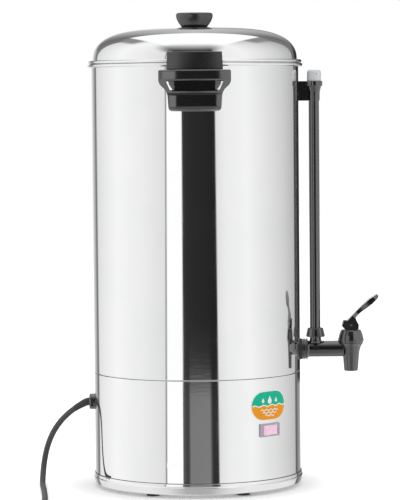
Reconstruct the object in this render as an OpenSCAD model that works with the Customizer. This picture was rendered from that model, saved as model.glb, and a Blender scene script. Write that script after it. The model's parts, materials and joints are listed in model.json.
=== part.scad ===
// Hot water urn: a polished stainless steel tank on a heated base, with a loose domed lid,
// two side handles, a draw-off tap with a sprung lever, and a sight gauge that rises from the tap.
// Units are millimetres. +Z is up, the origin is on the urn's axis at the floor,
// the tap points along +X, the cord leaves along -X and the handles face -Y and +Y.

/* [Tank and base] */
// Outer diameter of the tank and of the base skirt
body_d = 250; // [220:2:300]
// Thickness of the stainless steel sheet
sheet_t = 0.8; // [0.6:0.1:1.2]
// Height of the seam between base and tank above the floor
base_h = 139; // [120:1:160]
// Height of the tank wall from the seam to the rolled bead
tank_h = 368; // [300:2:420]
// Height of the tank floor above the seam
floor_lift = 8; // [7:0.5:12]
// Thickness of the rolled bead at the tank's mouth
bead_d = 4.2; // [3:0.2:5]
// How far the rolled bead stands out from the wall
bead_out = 5; // [4.6:0.2:7]

/* [Base pan and feet] */
// Number of rubber feet
foot_count = 6; // [3:1:8]
// Diameter of a rubber foot
foot_d = 16; // [12:1:20]
// Height of a rubber foot under the base pan
foot_h = 4.4; // [4:0.2:10]
// Distance of the feet from the outside of the body
foot_inset = 18; // [14:1:26]
// Thickness of the base pan
pan_t = 1; // [0.8:0.1:1.5]
// Height of the seam that clamps the pan round the skirt
rim_h = 13; // [8:0.1:14]
// How far that seam stands out from the skirt
rim_out = 2.2; // [1.6:0.1:3]

/* [Lid] */
// Height of the lid's dome above its rim
dome_h = 38.5; // [26:0.5:60]
// Distance of the dome's foot inside the outside of the body
dome_inset = 1.6; // [1.2:0.1:3]
// Thickness of the lid's rolled rim
lid_bead_d = 3.9; // [3:0.1:5]
// How far the lid's rim stands out from the body
lid_rim_out = 4; // [3.4:0.2:5]
// Depth of the ring that centres the lid in the mouth
lid_ring_h = 8; // [5:1:20]

/* [Knob] */
// Largest diameter of the lid's knob
knob_d = 44.5; // [36:0.5:56]
// Diameter of the knob at its foot
knob_foot_d = 32.5; // [26:0.5:35]
// Height of the knob
knob_h = 17.5; // [15:0.5:30]

/* [Handles] */
// Width of the handle's grip flange
grip_w = 84; // [76:1:100]
// Thickness of the grip flange
grip_t = 11.3; // [8:0.1:14]
// How far the grip flange reaches out from the wall
grip_reach = 33; // [28:1:42]
// Height of the finger space under the grip flange
finger_h = 12.5; // [10:0.5:18]
// Height of the handle's foot block
block_h = 23.2; // [20:0.2:30]
// Width of the handle's foot block
block_w = 63; // [56:1:68]
// How far the foot block reaches out from the wall
block_reach = 23; // [20:1:27]
// Depth of the grip flange's top below the tank's bead
handle_drop = 5.2; // [4:0.2:10]
// Width of the lug on the lid above each handle
lug_w = 66; // [50:1:76]
// Height of that lug
lug_h = 20.5; // [17:0.5:24]
// How far the lug reaches out from the body's radius
lug_reach = 9; // [8:0.5:14]

/* [Sight gauge] */
// Distance of the gauge's axis from the wall
gauge_out = 19; // [17:0.5:24]
// Outer diameter of the gauge glass
glass_d = 10; // [8:0.5:11]
// Wall thickness of the gauge glass
glass_t = 1.3; // [1:0.1:2]
// Outer diameter of the guard round the glass
guard_d = 13.3; // [12.6:0.1:15]
// Depth of the gauge bracket's top below the tank's bead
gauge_drop = 18; // [12:1:40]
// Height of the gauge bracket
bracket_h = 22; // [14:1:30]
// Diameter of the clear cap on the gauge
cap_d = 17; // [15:0.5:20]
// Height of the clear cap
cap_h = 13.6; // [10:0.2:18]

/* [Tap] */
// Height of the tap's shank above the seam
tap_rise = 25; // [22:1:40]
// Distance of the spout's axis from the wall
tap_reach = 62; // [56:1:80]
// Diameter of the shank
shank_d = 19.4; // [17:0.2:21]
// Bore of the water way through the shank
waterway_d = 11; // [8:0.5:12]
// Depth of the spout's mouth below the shank's axis
spout_drop = 27; // [24:1:40]
// Outer diameter of the spout at its mouth
spout_d = 16.6; // [14.6:0.2:20]
// Bore of the spout
spout_bore_d = 11.2; // [8:0.2:11.6]
// Largest diameter of the tap's bonnet
bonnet_d = 31.5; // [30:0.5:36]
// How far the stem lifts for each turn of the lever through one radian
lever_cam = 4.8; // [3:0.2:6]
// How far the lever is pressed down to open the tap fully, in degrees
lever_press = 35; // [20:1:35]
// Length of the lever from its pin to its tip
lever_len = 49; // [40:1:70]

/* [Switch and mains lead] */
// Angle of the switch from the front handle towards the tap
switch_azimuth = 43; // [30:1:56]
// Height of the switch above the floor
switch_h = 77; // [50:1:100]
// Width of the switch's bezel
bezel_w = 32; // [28:1:40]
// Height of the switch's bezel
bezel_h = 16; // [15:0.5:20]
// How far the rocker tilts from one side to the other, in degrees
rocker_tilt = 16; // [8:1:18]
// Height of the mains lead's gland above the floor
gland_h = 102; // [60:1:115]
// Diameter of the gland's flange
gland_d = 19.5; // [17:0.5:24]
// Diameter of the mains lead
cord_d = 7; // [7:0.5:8]

/* [Hidden] */
$fn = 96;
wall_fn = 720;               // pieces that fit against the round wall are cut by a finer circle
cut = 1;                     // how far a cut runs past the face that it opens
fit = 0.05;                  // clearance of pieces that are held against each other
run_fit = 0.05;              // radial clearance of pieces that turn or slide in a hole
screw_fit = 0.1;             // radial clearance of a screw in a sheet's hole

body_r = body_d / 2;
inner_r = body_r - sheet_t;
floor_z = base_h + floor_lift;
mouth_z = base_h + tank_h + bead_d;
chamfer = sheet_t / 2;       // the two bevels that make the fine seam line
seam_lip_h = 6;              // the skirt's lip inside the tank wall
joggle_h = 1.5;

foot_ring_r = body_r - foot_inset;
foot_stem_d = 6;
foot_head_d = 9;
foot_head_h = 1.5;
pan_z = foot_h;
pan_top_z = pan_z + pan_t;
rim_r = body_r + rim_out;
rim_upper_r = body_r + rim_out * 0.55;
rim_step_h = rim_h * 0.72;
rim_soft = 0.8;              // bevel on the seam's edges
dish_r = 60;                 // the pan's middle is pressed up so that its nut clears the floor
dish_h = 6;
vent_count = 12;
vent_d = 6;
vent_ring_r = dish_r + 20;

heat_plate_r = body_r * 0.76;
heat_plate_t = 4;
element_d = 8;
element_r = heat_plate_r - 20;
element_sweep = 320;
element_leg_h = 22;
element_pin_d = 3;
element_pin_h = 9;
heat_z = floor_z - heat_plate_t;
control_x = 30;
thermostat_d = 24;
thermostat_h = 8;
cutout_d = 18;
cutout_h = 7;
stud_d = 5;
stud_nut_h = 4;
stud_nut_r = 4.6;
terminal_size = [24, 36, 16];
terminal_x = -(body_r - 39);

lid_gap = 0.3;               // the lid's rim stops this far above the tank's bead
lid_z = mouth_z + lid_gap;
lid_bead_r = body_r + lid_rim_out - lid_bead_d / 2;
flange_low = 0.4;            // the rim's flange lies this far above the underside of the rim
dome_z = lid_z + lid_bead_d;
dome_r = body_r - dome_inset;
apex_z = dome_z + dome_h;
lid_ring_gap = 0.9;          // clearance of the centring ring in the mouth
lid_ring_r = inner_r - lid_ring_gap;
lug_clear = 0.5;             // the lug clears the tank's bead by this much
lug_splay = 1.2;             // the lug is this much wider on each side at its foot
lug_top_z = dome_z + 8.6;
lug_r = body_r + lug_reach;
lug_screw_z = dome_z + 4.6;
lug_screw_azimuth = 9;
lug_screw_d = 3.6;
lug_screw_head_d = 7;
lug_screw_head_h = 1.6;
lug_screw_len = 7;
lug_head_rise = lug_screw_z + lug_screw_head_d / 2 - dome_z;
lug_head_turn = acos(pow(lug_head_rise / (dome_h - sheet_t), 1 / 0.86));
lug_seat_r = (dome_r - sheet_t) * sqrt(sin(lug_head_turn)) - 0.1;   // the dome's inner face, less a hair

washer_d = knob_foot_d + 4.5;
washer_t = 1;
knob_z = apex_z + washer_t;
knob_edge = 3;
knob_screw_d = 5;
knob_screw_head_d = 10;
knob_screw_head_h = 2.6;
knob_screw_len = 12;

grip_r = body_r + grip_reach;
grip_top_z = base_h + tank_h - handle_drop;
grip_low_z = grip_top_z - grip_t;
block_top_z = grip_low_z - finger_h;
block_low_z = block_top_z - block_h;
block_r = body_r + block_reach;
post_w = 47.5;
post_r = body_r + 14;
finger_top_w = 67;
finger_low_w = 52;
soft_edge = 2;
block_soft = 6;
handle_screw_azimuth = 8;
handle_screw_z = block_low_z + block_h * 0.48;
handle_screw_d = 5;
handle_screw_head_d = 9;
handle_screw_head_h = 2.4;
handle_screw_len = 15;

tap_z = base_h + tap_rise;
tap_x = body_r + tap_reach;
tail_d = 16;
tail_x = body_r - 15;
gasket_t = 2;
collar_d = 25.4;
collar_t = 5;
collar_groove_t = 0.5;
collar_ring_t = 1.6;
inner_seal_x = body_r - 5;
inner_seal_d = 23;
tap_nut_t = 6;
tap_nut_r = 14;
seat_z = tap_z - 7;
chamber_d = 16.8;
neck_d = 24.8;
bonnet_z = tap_z + 7.5;
neck_top_z = tap_z + 14;
bonnet_top_z = tap_z + 23;
spring_roof_z = bonnet_top_z - 4;
spring_room_d = 12;
stem_d = 6;
stem_flat = 5;
cup_d = 14.8;
cup_h = 6;
cup_grip_h = 2;              // the stem's end is this far above the cup's underside
collar_pad_d = 9;
collar_pad_h = 1;
spring_low_z = seat_z + cup_h + collar_pad_h;
spring_d = 9.4;
wire_d = 1;
spring_turns = 5;
pin_drop = 6;                // height of the lever's pin above the bonnet
pin_z = bonnet_top_z + pin_drop;
pin_d = 2.5;
hub_w = 16;
hub_slot_w = stem_flat + 0.3;
hub_slot_h = stem_d / 2 + 1;
cam_clear = 0.05;
stem_rise = lever_cam * lever_press * PI / 180;
lever_angle = 40.5;
tee_d = 13.7;
tee_thread_d = 12.6;
tee_top_z = tap_z + 20;
tee_shoulder_z = tap_z + 14.8;
glass_low_z = tee_top_z - 4;
tee_bore_d = 6;
bleed_d = 5;
bleed_rise = 2.5;
bleed_y = shank_d / 2 + 1.4;

gauge_x = body_r + gauge_out;
gauge_nut_low_d = 23;
gauge_nut_top_d = 18.6;
gauge_nut_top_z = tap_z + 25.7;
gauge_seal_t = 2;
bracket_top_z = base_h + tank_h - gauge_drop;
bracket_flange_t = 6;
bracket_flange_d = guard_d + 6;
bracket_sleeve_d = guard_d + 2.8;
bracket_arm_w = 11;
bracket_screw_d = 3.5;
bracket_screw_head_d = 7;
bracket_screw_head_h = 2;
bracket_screw_len = 8;
bracket_screw_z = bracket_top_z - bracket_h / 2;
guard_bore_d = glass_d + 0.6;
guard_slot_w = 6.4;
guard_top_z = bracket_top_z - 4;
glass_top_z = bracket_top_z + 6;
cap_soft = 3.4;
cap_holes = 4;

skirt_cut_w = bezel_w - 3.6;
skirt_cut_h = bezel_h - 2;
housing_w = skirt_cut_w - 0.4;
housing_h = skirt_cut_h - 0.4;
housing_depth = 20;
bezel_t = 1.5;
rocker_axis_depth = 4;       // the rocker's axis lies this far behind the bezel's face
rocker_r = bezel_w / 2 - 4;
rocker_clear = 0.3;
rocker_h = housing_h - 2.2;
rocker_pin_d = 2.4;
rocker_pin_len = 0.8;
rocker_face = 5;
rocker_back = 3;

gland_out = 6.8;
gland_thread_d = 13;
gland_thread_in = 12;
gland_nut_r = 10;
gland_nut_t = 4;

// The mains lead leaves the gland, falls beside the body and runs forward on the floor to its coil.
cord_start = [-(body_r + gland_out), 0, gland_h];
cord_leave = [-1, 0, 0];
cord_points = [
    [-141.8, 1.2, 98.1], [-152.9, 4.6, 90.9], [-162.2, 8.8, 82.6], [-169.9, 13, 73.7], [-176.4, 17, 63.8],
    [-181.6, 20.4, 52.9], [-185.5, 22.4, 41.6], [-188, 21.2, 30.2], [-189.4, 16.9, 19.9],
    [-189.9, 9.8, 11.6], [-189.8, 0.6, 6.2], [-189.3, -9.8, 3.9], [-188.6, -21, 3.5], [-187.2, -36, 3.5],
    [-184.6, -64, 3.5], [-181.8, -99, 3.5], [-179, -142, 3.5],
    [-177.2, -196, 3.5], [-177.6, -258, 3.5], [-180, -326, 3.5]];
cord_sides = 10;
cord_steps = 4;              // rings on each stretch between two points
coil_centre = [-134, -326];
coil_outer = 46;             // radius of the outermost turn's middle line
coil_inner = 30;
coil_room = 0.5;
tail_points = [
    [-134, -372, 10.7], [-114, -372, 11], [-92, -372, 15], [-72, -372, 18]];
plug_axis_z = 18;
plug_x = -72;
plug_y = -372;
plug_boot_len = 22;
plug_boot_d = 11;
plug_grip_d = 30;
plug_face_d = 36;
plug_len = 36;
plug_pin_d = 4.8;
plug_pin_len = 19;
plug_pin_gap = 19;

steel = [0.86, 0.87, 0.88];
satin = [0.72, 0.73, 0.74];
black = [0.07, 0.07, 0.08];
rubber = [0.14, 0.14, 0.15];
brass = [0.78, 0.62, 0.32];

// ---- helpers -------------------------------------------------------------------------------

// Points of an arc, from angle a to angle b in n steps
function arc(x, y, r, a, b, n = 5) =
    [for (i = [0:n]) let (t = a + (b - a) * i / n) [x + r * cos(t), y + r * sin(t)]];

// Where a flat face of radius r meets the inside of a round wall
function seat_in(wall_r, r) = sqrt(pow(wall_r, 2) - pow(r, 2));

// Puts a piece that is drawn facing -Y round the body
module facing(azimuth) rotate([0, 0, azimuth]) children();

// Turns a piece that is drawn along +Z so that it points away from the body's axis
module outward(azimuth, z) facing(azimuth) translate([0, 0, z]) rotate([90, 0, 0]) children();

// A round bar or hole that points away from the body's axis, from radius a to radius b
module spoke(azimuth, z, d, a, b) outward(azimuth, z) translate([0, 0, a]) cylinder(d = d, h = b - a);

// A ring between two radii
module band(r_in, r_out, z, h) rotate_extrude() translate([r_in, z]) square([r_out - r_in, h]);

// A hollow cylinder
module sleeve(d_out, d_in, h) difference() {
    cylinder(d = d_out, h = h);
    translate([0, 0, -cut]) cylinder(d = d_in, h = h + 2 * cut);
}

// A front view, drawn in X and Z, as a slab from y_near to y_far on the -Y side
module front_slab(y_near, y_far) translate([0, -y_near, 0]) rotate([90, 0, 0])
    linear_extrude(height = y_far - y_near) children();

// A screw with a round head inside a round wall
module wall_screw(azimuth, z, wall_r, d, head_d, head_h, end_r) {
    seat = seat_in(wall_r, head_d / 2);
    spoke(azimuth, z, head_d, seat - head_h, seat);
    spoke(azimuth, z, d, seat - head_h, end_r);
}

// ---- base ----------------------------------------------------------------------------------

module foot(number) color(rubber)
    facing(180 / foot_count + number * 360 / foot_count) translate([0, -foot_ring_r, 0]) {
        cylinder(d1 = foot_d - 1.2, d2 = foot_d, h = foot_h);
        cylinder(d = foot_stem_d, h = foot_h + pan_t + foot_head_h);
        translate([0, 0, foot_h + pan_t]) cylinder(d = foot_head_d, h = foot_head_h);
    }

module base_plate() color(satin) difference() {
    bend = pan_t * tan(22.5);
    inside = body_r + fit;
    rotate_extrude() polygon([
        [0, pan_z + dish_h], [dish_r, pan_z + dish_h], [dish_r + dish_h, pan_z],
        [rim_r - rim_soft, pan_z], [rim_r, pan_z + rim_soft],
        [rim_r, pan_z + rim_step_h - rim_soft / 2], [rim_r - rim_soft / 2, pan_z + rim_step_h],
        [rim_upper_r, pan_z + rim_step_h],
        [rim_upper_r, pan_z + rim_h - rim_soft / 2], [rim_upper_r - rim_soft / 2, pan_z + rim_h],
        [inside, pan_z + rim_h], [inside, pan_top_z],
        [dish_r + dish_h + bend, pan_top_z], [dish_r + bend, pan_top_z + dish_h],
        [0, pan_top_z + dish_h]]);
    for (i = [0:foot_count - 1]) facing(180 / foot_count + i * 360 / foot_count)
        translate([0, -foot_ring_r, 0]) cylinder(d = foot_stem_d + 2 * fit, h = base_h);
    for (i = [0:vent_count - 1]) facing((i + 0.5) * 360 / vent_count)
        translate([0, -vent_ring_r, 0]) cylinder(d = vent_d, h = base_h);
    cylinder(d = stud_d + 2 * screw_fit, h = base_h);
}

module base_shell() color(steel) difference() {
    rotate_extrude() {
        polygon([
            [inner_r, pan_top_z], [body_r, pan_top_z], [body_r, base_h - chamfer],
            [body_r - chamfer, base_h], [inner_r - fit, base_h],
            [inner_r - fit, base_h + seam_lip_h], [inner_r - fit - sheet_t, base_h + seam_lip_h],
            [inner_r - fit - sheet_t, base_h - joggle_h], [inner_r, base_h - joggle_h - sheet_t]]);
    }
    facing(switch_azimuth) translate([-skirt_cut_w / 2, -body_r - cut, switch_h - skirt_cut_h / 2])
        cube([skirt_cut_w, body_r / 4, skirt_cut_h]);
    spoke(-90, gland_h, gland_thread_d + 2 * screw_fit, body_r / 2, body_r + cut);
}

module heat_plate() color([0.8, 0.81, 0.82])
    translate([0, 0, heat_z]) cylinder(r = heat_plate_r, h = heat_plate_t);

module heating_element() color([0.55, 0.55, 0.56]) {
    ring_z = heat_z - element_d / 2;
    rotate_extrude(angle = element_sweep) translate([element_r, ring_z]) circle(d = element_d);
    for (end = [0, element_sweep]) rotate([0, 0, end]) translate([element_r, 0, ring_z]) {
        translate([0, 0, -element_leg_h]) cylinder(d = element_d + 2, h = element_leg_h + element_d / 3);
        translate([0, 0, -element_leg_h - element_pin_h]) cylinder(d = element_pin_d, h = element_pin_h);
    }
}

module thermostat() color(black) translate([control_x, 0, heat_z - thermostat_h])
    cylinder(d = thermostat_d, h = thermostat_h);

module thermal_cutout() color(brass) translate([-control_x, 0, heat_z - cutout_h])
    cylinder(d = cutout_d, h = cutout_h);

module terminal_block() color([0.9, 0.9, 0.88])
    translate([terminal_x - terminal_size.x / 2, -terminal_size.y / 2, pan_top_z])
        difference() {
            cube(terminal_size);
            for (i = [0.5:1:2.5])
                translate([terminal_size.x / 4, i * terminal_size.y / 3, terminal_size.z / 2])
                    cylinder(d = 5, h = terminal_size.z);
        }

module centre_stud() color(satin)
    translate([0, 0, pan_z + 1]) cylinder(d = stud_d, h = heat_z - pan_z - 1);

module centre_nut() color(satin) translate([0, 0, pan_z + dish_h - stud_nut_h]) difference() {
    cylinder(r = stud_nut_r, h = stud_nut_h, $fn = 6);
    translate([0, 0, -cut]) cylinder(d = stud_d + 2 * fit, h = stud_nut_h + 2 * cut);
}

// ---- tank ----------------------------------------------------------------------------------

module tank_shell() color(steel) difference() {
    rotate_extrude() {
        polygon([
            [inner_r, base_h], [body_r - chamfer, base_h], [body_r, base_h + chamfer],
            [body_r, mouth_z - bead_d / 2 + chamfer], [inner_r, mouth_z - bead_d / 2 + chamfer]]);
        translate([inner_r, mouth_z - bead_d / 2 - chamfer])
            square([bead_out + sheet_t - bead_d / 2, sheet_t]);
        translate([body_r + bead_out - bead_d / 2, mouth_z - bead_d / 2]) circle(d = bead_d);
        translate([0, floor_z]) square([body_r - chamfer, sheet_t]);
    }
    spoke(90, tap_z, tail_d + 2 * screw_fit, body_r / 2, body_r + cut);
    spoke(90, bracket_screw_z, bracket_screw_d + 2 * screw_fit, body_r / 2, body_r + cut);
    for (side = [0, 180]) for (turn = [-1, 1])
        spoke(side + turn * handle_screw_azimuth, handle_screw_z,
            handle_screw_d + 2 * screw_fit, body_r / 2, body_r + cut);
}

// ---- handles -------------------------------------------------------------------------------

// One half of the handle's outline below the grip flange, an S-curve down to the foot block
function neck_curve(n = 8) = let (
    a = [grip_w / 2, grip_low_z], d = [block_w / 2, block_top_z - block_h * 0.3],
    b = a - [1, finger_h * 0.7], c = d + [0.8, finger_h])
    [for (i = [0:n]) let (t = i / n, s = 1 - t)
        s * s * s * a + 3 * s * s * t * b + 3 * s * t * t * c + t * t * t * d];

function mirrored(points) = [for (i = [len(points) - 1:-1:0]) [-points[i].x, points[i].y]];

function handle_outline() = let (
    edge = soft_edge, corner = 5, foot_half = block_w / 2 - 2,
    right = concat(
        arc(grip_w / 2 - edge, grip_top_z - edge, edge, 90, 0),
        neck_curve(),
        arc(foot_half - corner, block_low_z + corner, corner, 0, -90)))
    concat(right, mirrored(right));

// The handle's outline seen from the side, as radius and height
module handle_side() polygon(concat(
    [[body_r + fit, grip_top_z]],
    arc(grip_r - soft_edge, grip_top_z - soft_edge, soft_edge, 90, 0),
    arc(grip_r - soft_edge, grip_low_z + soft_edge, soft_edge, 0, -60),
    arc(block_r - block_soft, block_top_z - block_soft, block_soft, 40, 0),
    arc(block_r - block_soft, block_low_z + block_soft, block_soft, 0, -90),
    [[body_r + fit, block_low_z]]));

// The finger space, wide at the top and narrow at the bottom
module finger_outline() polygon([
    [-finger_top_w / 2, grip_low_z], [finger_top_w / 2, grip_low_z],
    [finger_low_w / 2 + 3, block_top_z + 2], [finger_low_w / 2, block_top_z],
    [-finger_low_w / 2, block_top_z], [-finger_low_w / 2 - 3, block_top_z + 2]]);

module handle(azimuth) color(black) facing(azimuth) difference() {
    intersection() {
        rotate_extrude() handle_side();
        front_slab(body_r / 2, grip_r + cut) polygon(handle_outline());
    }
    // the finger space in front of the post, and the two windows beside it
    difference() {
        front_slab(body_r / 2, grip_r + cut) finger_outline();
        intersection() {
            cylinder(r = post_r, h = 2 * mouth_z);
            translate([-post_w / 2, -grip_r, 0]) cube([post_w, grip_r, 2 * mouth_z]);
        }
    }
    for (turn = [-1, 1]) spoke(turn * handle_screw_azimuth, handle_screw_z,
        handle_screw_d + 2 * fit, body_r / 2, body_r + handle_screw_len + fit);
}

module handle_screw(azimuth) color(satin) wall_screw(azimuth, handle_screw_z, inner_r,
    handle_screw_d, handle_screw_head_d, handle_screw_head_h, body_r + handle_screw_len);

// ---- tap -----------------------------------------------------------------------------------

collar_x = body_r + gasket_t;

module tap_body() color(black) difference() {
    union() {
        spoke(90, tap_z, tail_d, tail_x, collar_x + cut);
        spoke(90, tap_z, collar_d, collar_x, collar_x + collar_t);
        spoke(90, tap_z, collar_d - 2, collar_x, collar_x + collar_t + collar_groove_t);
        spoke(90, tap_z, collar_d + 0.4, collar_x + collar_t + collar_groove_t,
            collar_x + collar_t + collar_groove_t + collar_ring_t);
        difference() {
            spoke(90, tap_z, shank_d, collar_x, tap_x);
            translate([tap_x, 0, bonnet_z]) cylinder(d = bonnet_d + 4 * fit, h = shank_d);
        }
        translate([tap_x, 0, 0]) rotate_extrude() polygon([
            [0, tap_z - spout_drop], [spout_d / 2, tap_z - spout_drop],
            [spout_d / 2 + 1.4, tap_z - 9.4], [spout_d / 2 + 2.2, tap_z - 3],
            [neck_d / 2, tap_z + 3.6], [neck_d / 2 + 2.2, bonnet_z],
            [neck_d / 2, bonnet_z], [neck_d / 2, neck_top_z], [0, neck_top_z]]);
        translate([gauge_x, 0, tap_z]) {
            cylinder(d = tee_d, h = tee_shoulder_z - tap_z);
            cylinder(d = tee_thread_d, h = tee_top_z - tap_z);
            translate([0, 0, bleed_rise]) rotate([90, 0, 0]) cylinder(d = bleed_d, h = bleed_y);
        }
    }
    spoke(90, tap_z, waterway_d, tail_x - cut, tap_x);
    translate([tap_x, 0, 0]) {
        translate([0, 0, tap_z - spout_drop - cut])
            cylinder(d = spout_bore_d, h = spout_drop + cut);
        translate([0, 0, seat_z]) cylinder(d = chamber_d, h = neck_top_z - seat_z + cut);
    }
    translate([gauge_x, 0, tap_z]) cylinder(d = tee_bore_d, h = 2 * tap_rise);
    translate([gauge_x, 0, glass_low_z]) cylinder(d = glass_d + 2 * fit, h = tap_rise);
}

module tap_gasket() color(rubber) difference() {
    spoke(90, tap_z, collar_d, body_r - 3, collar_x);
    cylinder(r = body_r, h = 2 * tap_z, $fn = wall_fn);
    spoke(90, tap_z, tail_d + 2 * fit, body_r / 2, collar_x + cut);
}

module tap_inner_seal() color(rubber) difference() {
    intersection() {
        spoke(90, tap_z, inner_seal_d, inner_seal_x, body_r);
        cylinder(r = inner_r - fit, h = 2 * tap_z, $fn = wall_fn);
    }
    spoke(90, tap_z, tail_d + 2 * fit, body_r / 2, collar_x);
}

module tap_nut() color(satin) difference() {
    outward(90, tap_z) translate([0, 0, inner_seal_x - tap_nut_t])
        cylinder(r = tap_nut_r, h = tap_nut_t, $fn = 6);
    spoke(90, tap_z, tail_d + 2 * fit, body_r / 2, collar_x);
}

module tap_bonnet() color(black) translate([tap_x, 0, 0]) difference() {
    rotate_extrude() polygon([
        [neck_d / 2 + fit, bonnet_z], [bonnet_d / 2 - 1, bonnet_z],
        [bonnet_d / 2, bonnet_z + 3], [bonnet_d / 2 - 1.6, bonnet_top_z - 6],
        [bonnet_d / 2 - 3.4, bonnet_top_z - 1], [bonnet_d / 2 - 4.6, bonnet_top_z],
        [stem_d / 2 + run_fit, bonnet_top_z], [stem_d / 2 + run_fit, spring_roof_z],
        [spring_room_d / 2, spring_roof_z], [spring_room_d / 2, neck_top_z],
        [neck_d / 2 + fit, neck_top_z]]);
    for (i = [0:11]) rotate([0, 0, i * 30 + 15])
        translate([bonnet_d / 2 + 0.9, 0, bonnet_z - cut]) cylinder(d = 3, h = tap_rise);
}

module tap_stem() color(satin) translate([tap_x, 0, 0]) {
    low = seat_z + cup_grip_h;
    difference() {
        union() {
            translate([0, 0, low]) cylinder(d = stem_d, h = pin_z - low);
            intersection() {
                translate([0, 0, pin_z]) rotate([90, 0, 0])
                    cylinder(d = stem_d, h = stem_d, center = true);
                cylinder(d = stem_d, h = 2 * pin_z);
            }
        }
        for (side = [-1, 1]) translate([-stem_d, side > 0 ? stem_flat / 2 : -stem_flat / 2 - stem_d,
            bonnet_top_z - 1 - stem_rise]) cube([2 * stem_d, stem_d, 4 * pin_drop]);
        translate([0, 0, pin_z]) rotate([90, 0, 0])
            cylinder(d = pin_d + 2 * run_fit, h = 2 * stem_d, center = true);
    }
    translate([0, 0, seat_z + cup_h]) cylinder(d = collar_pad_d, h = collar_pad_h);
}

module tap_seat_cup() color([0.85, 0.85, 0.82]) translate([tap_x, 0, seat_z]) difference() {
    rotate_extrude() polygon([
        [0, 0], [cup_d / 2 - 0.6, 0], [cup_d / 2, 0.8], [cup_d / 2 - 0.8, 3],
        [collar_pad_d / 2, cup_h], [0, cup_h]]);
    translate([0, 0, cup_grip_h]) cylinder(d = stem_d + 2 * fit, h = cup_h);
}

// A ring of points round a place on a path, square to its direction
function ring_at(p, dir, r, sides) = let (
    side = cross(dir, [0, 0, 1]) / norm(cross(dir, [0, 0, 1])), up = cross(side, dir) / norm(dir))
    [for (i = [0:sides - 1]) p + r * cos(i * 360 / sides) * side + r * sin(i * 360 / sides) * up];

// A solid swept along a list of places, given the direction at each
module swept(places, dirs, r, sides) {
    rings = len(places);
    polyhedron(
        points = [for (i = [0:rings - 1]) each ring_at(places[i], dirs[i], r, sides)],
        faces = concat(
            [[for (i = [0:sides - 1]) i]],
            [for (k = [0:rings - 2]) for (i = [0:sides - 1]) let (j = (i + 1) % sides)
                each [[k * sides + i, (k + 1) * sides + i, (k + 1) * sides + j],
                    [k * sides + i, (k + 1) * sides + j, k * sides + j]]],
            [[for (i = [sides - 1:-1:0]) (rings - 1) * sides + i]]));
}

module tap_spring() color(satin) {
    r = (spring_d - wire_d) / 2;
    low = spring_low_z + wire_d / 2;
    rise = spring_roof_z - spring_low_z - wire_d;
    steps = spring_turns * 16;
    turn = [for (k = [0:steps]) k / steps];
    swept(
        [for (u = turn) let (a = 360 * spring_turns * u)
            [tap_x + r * cos(a), r * sin(a), low + rise * u]],
        [for (u = turn) let (a = 360 * spring_turns * u)
            [-sin(a), cos(a), rise / (2 * PI * r * spring_turns)]],
        wire_d / 2, 8);
}

// The cam under the lever's hub: it keeps touching the bonnet while the stem lifts evenly
function cam_curve() = [for (a = [0:5:lever_press]) let (
    reach = pin_drop - cam_clear + lever_cam * a * PI / 180)
    [reach * sin(a) + lever_cam * cos(a), -(reach * cos(a) - lever_cam * sin(a))]];

// Half width of the lever along its length
function lever_half_w(u) = u < 8 ? hub_w / 2
    : u < 16 ? hub_w / 2 - 3.2 * (1 - cos((u - 8) / 8 * 180)) / 2
    : u < 22 ? hub_w / 2 - 3.2
    : u < 32 ? hub_w / 2 - 3.2 + 4 * (1 - cos((u - 22) / 10 * 180)) / 2
    : u < lever_len - 8 ? hub_w / 2 + 0.8
    : sqrt(max(0.01, pow(hub_w / 2 + 0.8, 2) - pow((u - lever_len + 8) / 8 * (hub_w / 2 + 0.8), 2)));

module tap_lever() color(black) translate([tap_x, 0, pin_z]) {
    tip = lever_len - 49;
    away = [cos(lever_angle), sin(lever_angle)];
    plan = [for (u = [-12:2:lever_len]) [u, lever_half_w(u)]];
    difference() {
        intersection() {
            rotate([90, 0, 0]) linear_extrude(height = 2 * hub_w, center = true) polygon(concat(
                [[-6.6, -(pin_drop - cam_clear)]], cam_curve(),
                [[9.4, 0.4], [6.4, 6], [5.6, 9.2], [11, 14.5], [18, 19.7]],
                [[26.8, 26.8] + tip * away / 2, [33.3, 33.4] + tip * away,
                 [33.5, 35.6] + tip * away, [31.6, 37.3] + tip * away,
                 [22.4, 31.6] + tip * away / 2],
                [[14, 24.1], [-4.8, 5.3], [-9.2, 5.3], [-11, -1.3]]));
            rotate([0, -lever_angle, 0]) linear_extrude(height = 4 * hub_w, center = true)
                polygon(concat(plan, [for (i = [len(plan) - 1:-1:0]) [plan[i].x, -plan[i].y]]));
        }
        translate([-hub_w, -hub_slot_w / 2, -hub_w]) cube([2 * hub_w, hub_slot_w, hub_w + hub_slot_h]);
        rotate([90, 0, 0]) cylinder(d = pin_d + fit, h = 2 * hub_w, center = true);
    }
}

module lever_pin() color(satin) translate([tap_x, 0, pin_z]) rotate([90, 0, 0])
    cylinder(d = pin_d, h = hub_w, center = true);

// ---- sight gauge ---------------------------------------------------------------------------

module gauge_nut() color(black) translate([gauge_x, 0, tee_shoulder_z]) difference() {
    height = gauge_nut_top_z - tee_shoulder_z;
    cylinder(d1 = gauge_nut_low_d, d2 = gauge_nut_top_d, h = height);
    translate([0, 0, -cut])
        cylinder(d = tee_thread_d + 2 * fit, h = tee_top_z + gauge_seal_t - tee_shoulder_z + cut);
    cylinder(d = glass_d + 2 * screw_fit, h = height + cut);
    for (i = [0:9]) rotate([0, 0, i * 36]) translate([gauge_nut_low_d / 2 + 0.3, 0, -cut])
        rotate([0, -10, 0]) cylinder(d = 2.6, h = height + 3 * cut);
}

module gauge_seal() color(rubber) translate([gauge_x, 0, tee_top_z])
    sleeve(tee_thread_d, glass_d + 2 * fit, gauge_seal_t);

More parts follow.
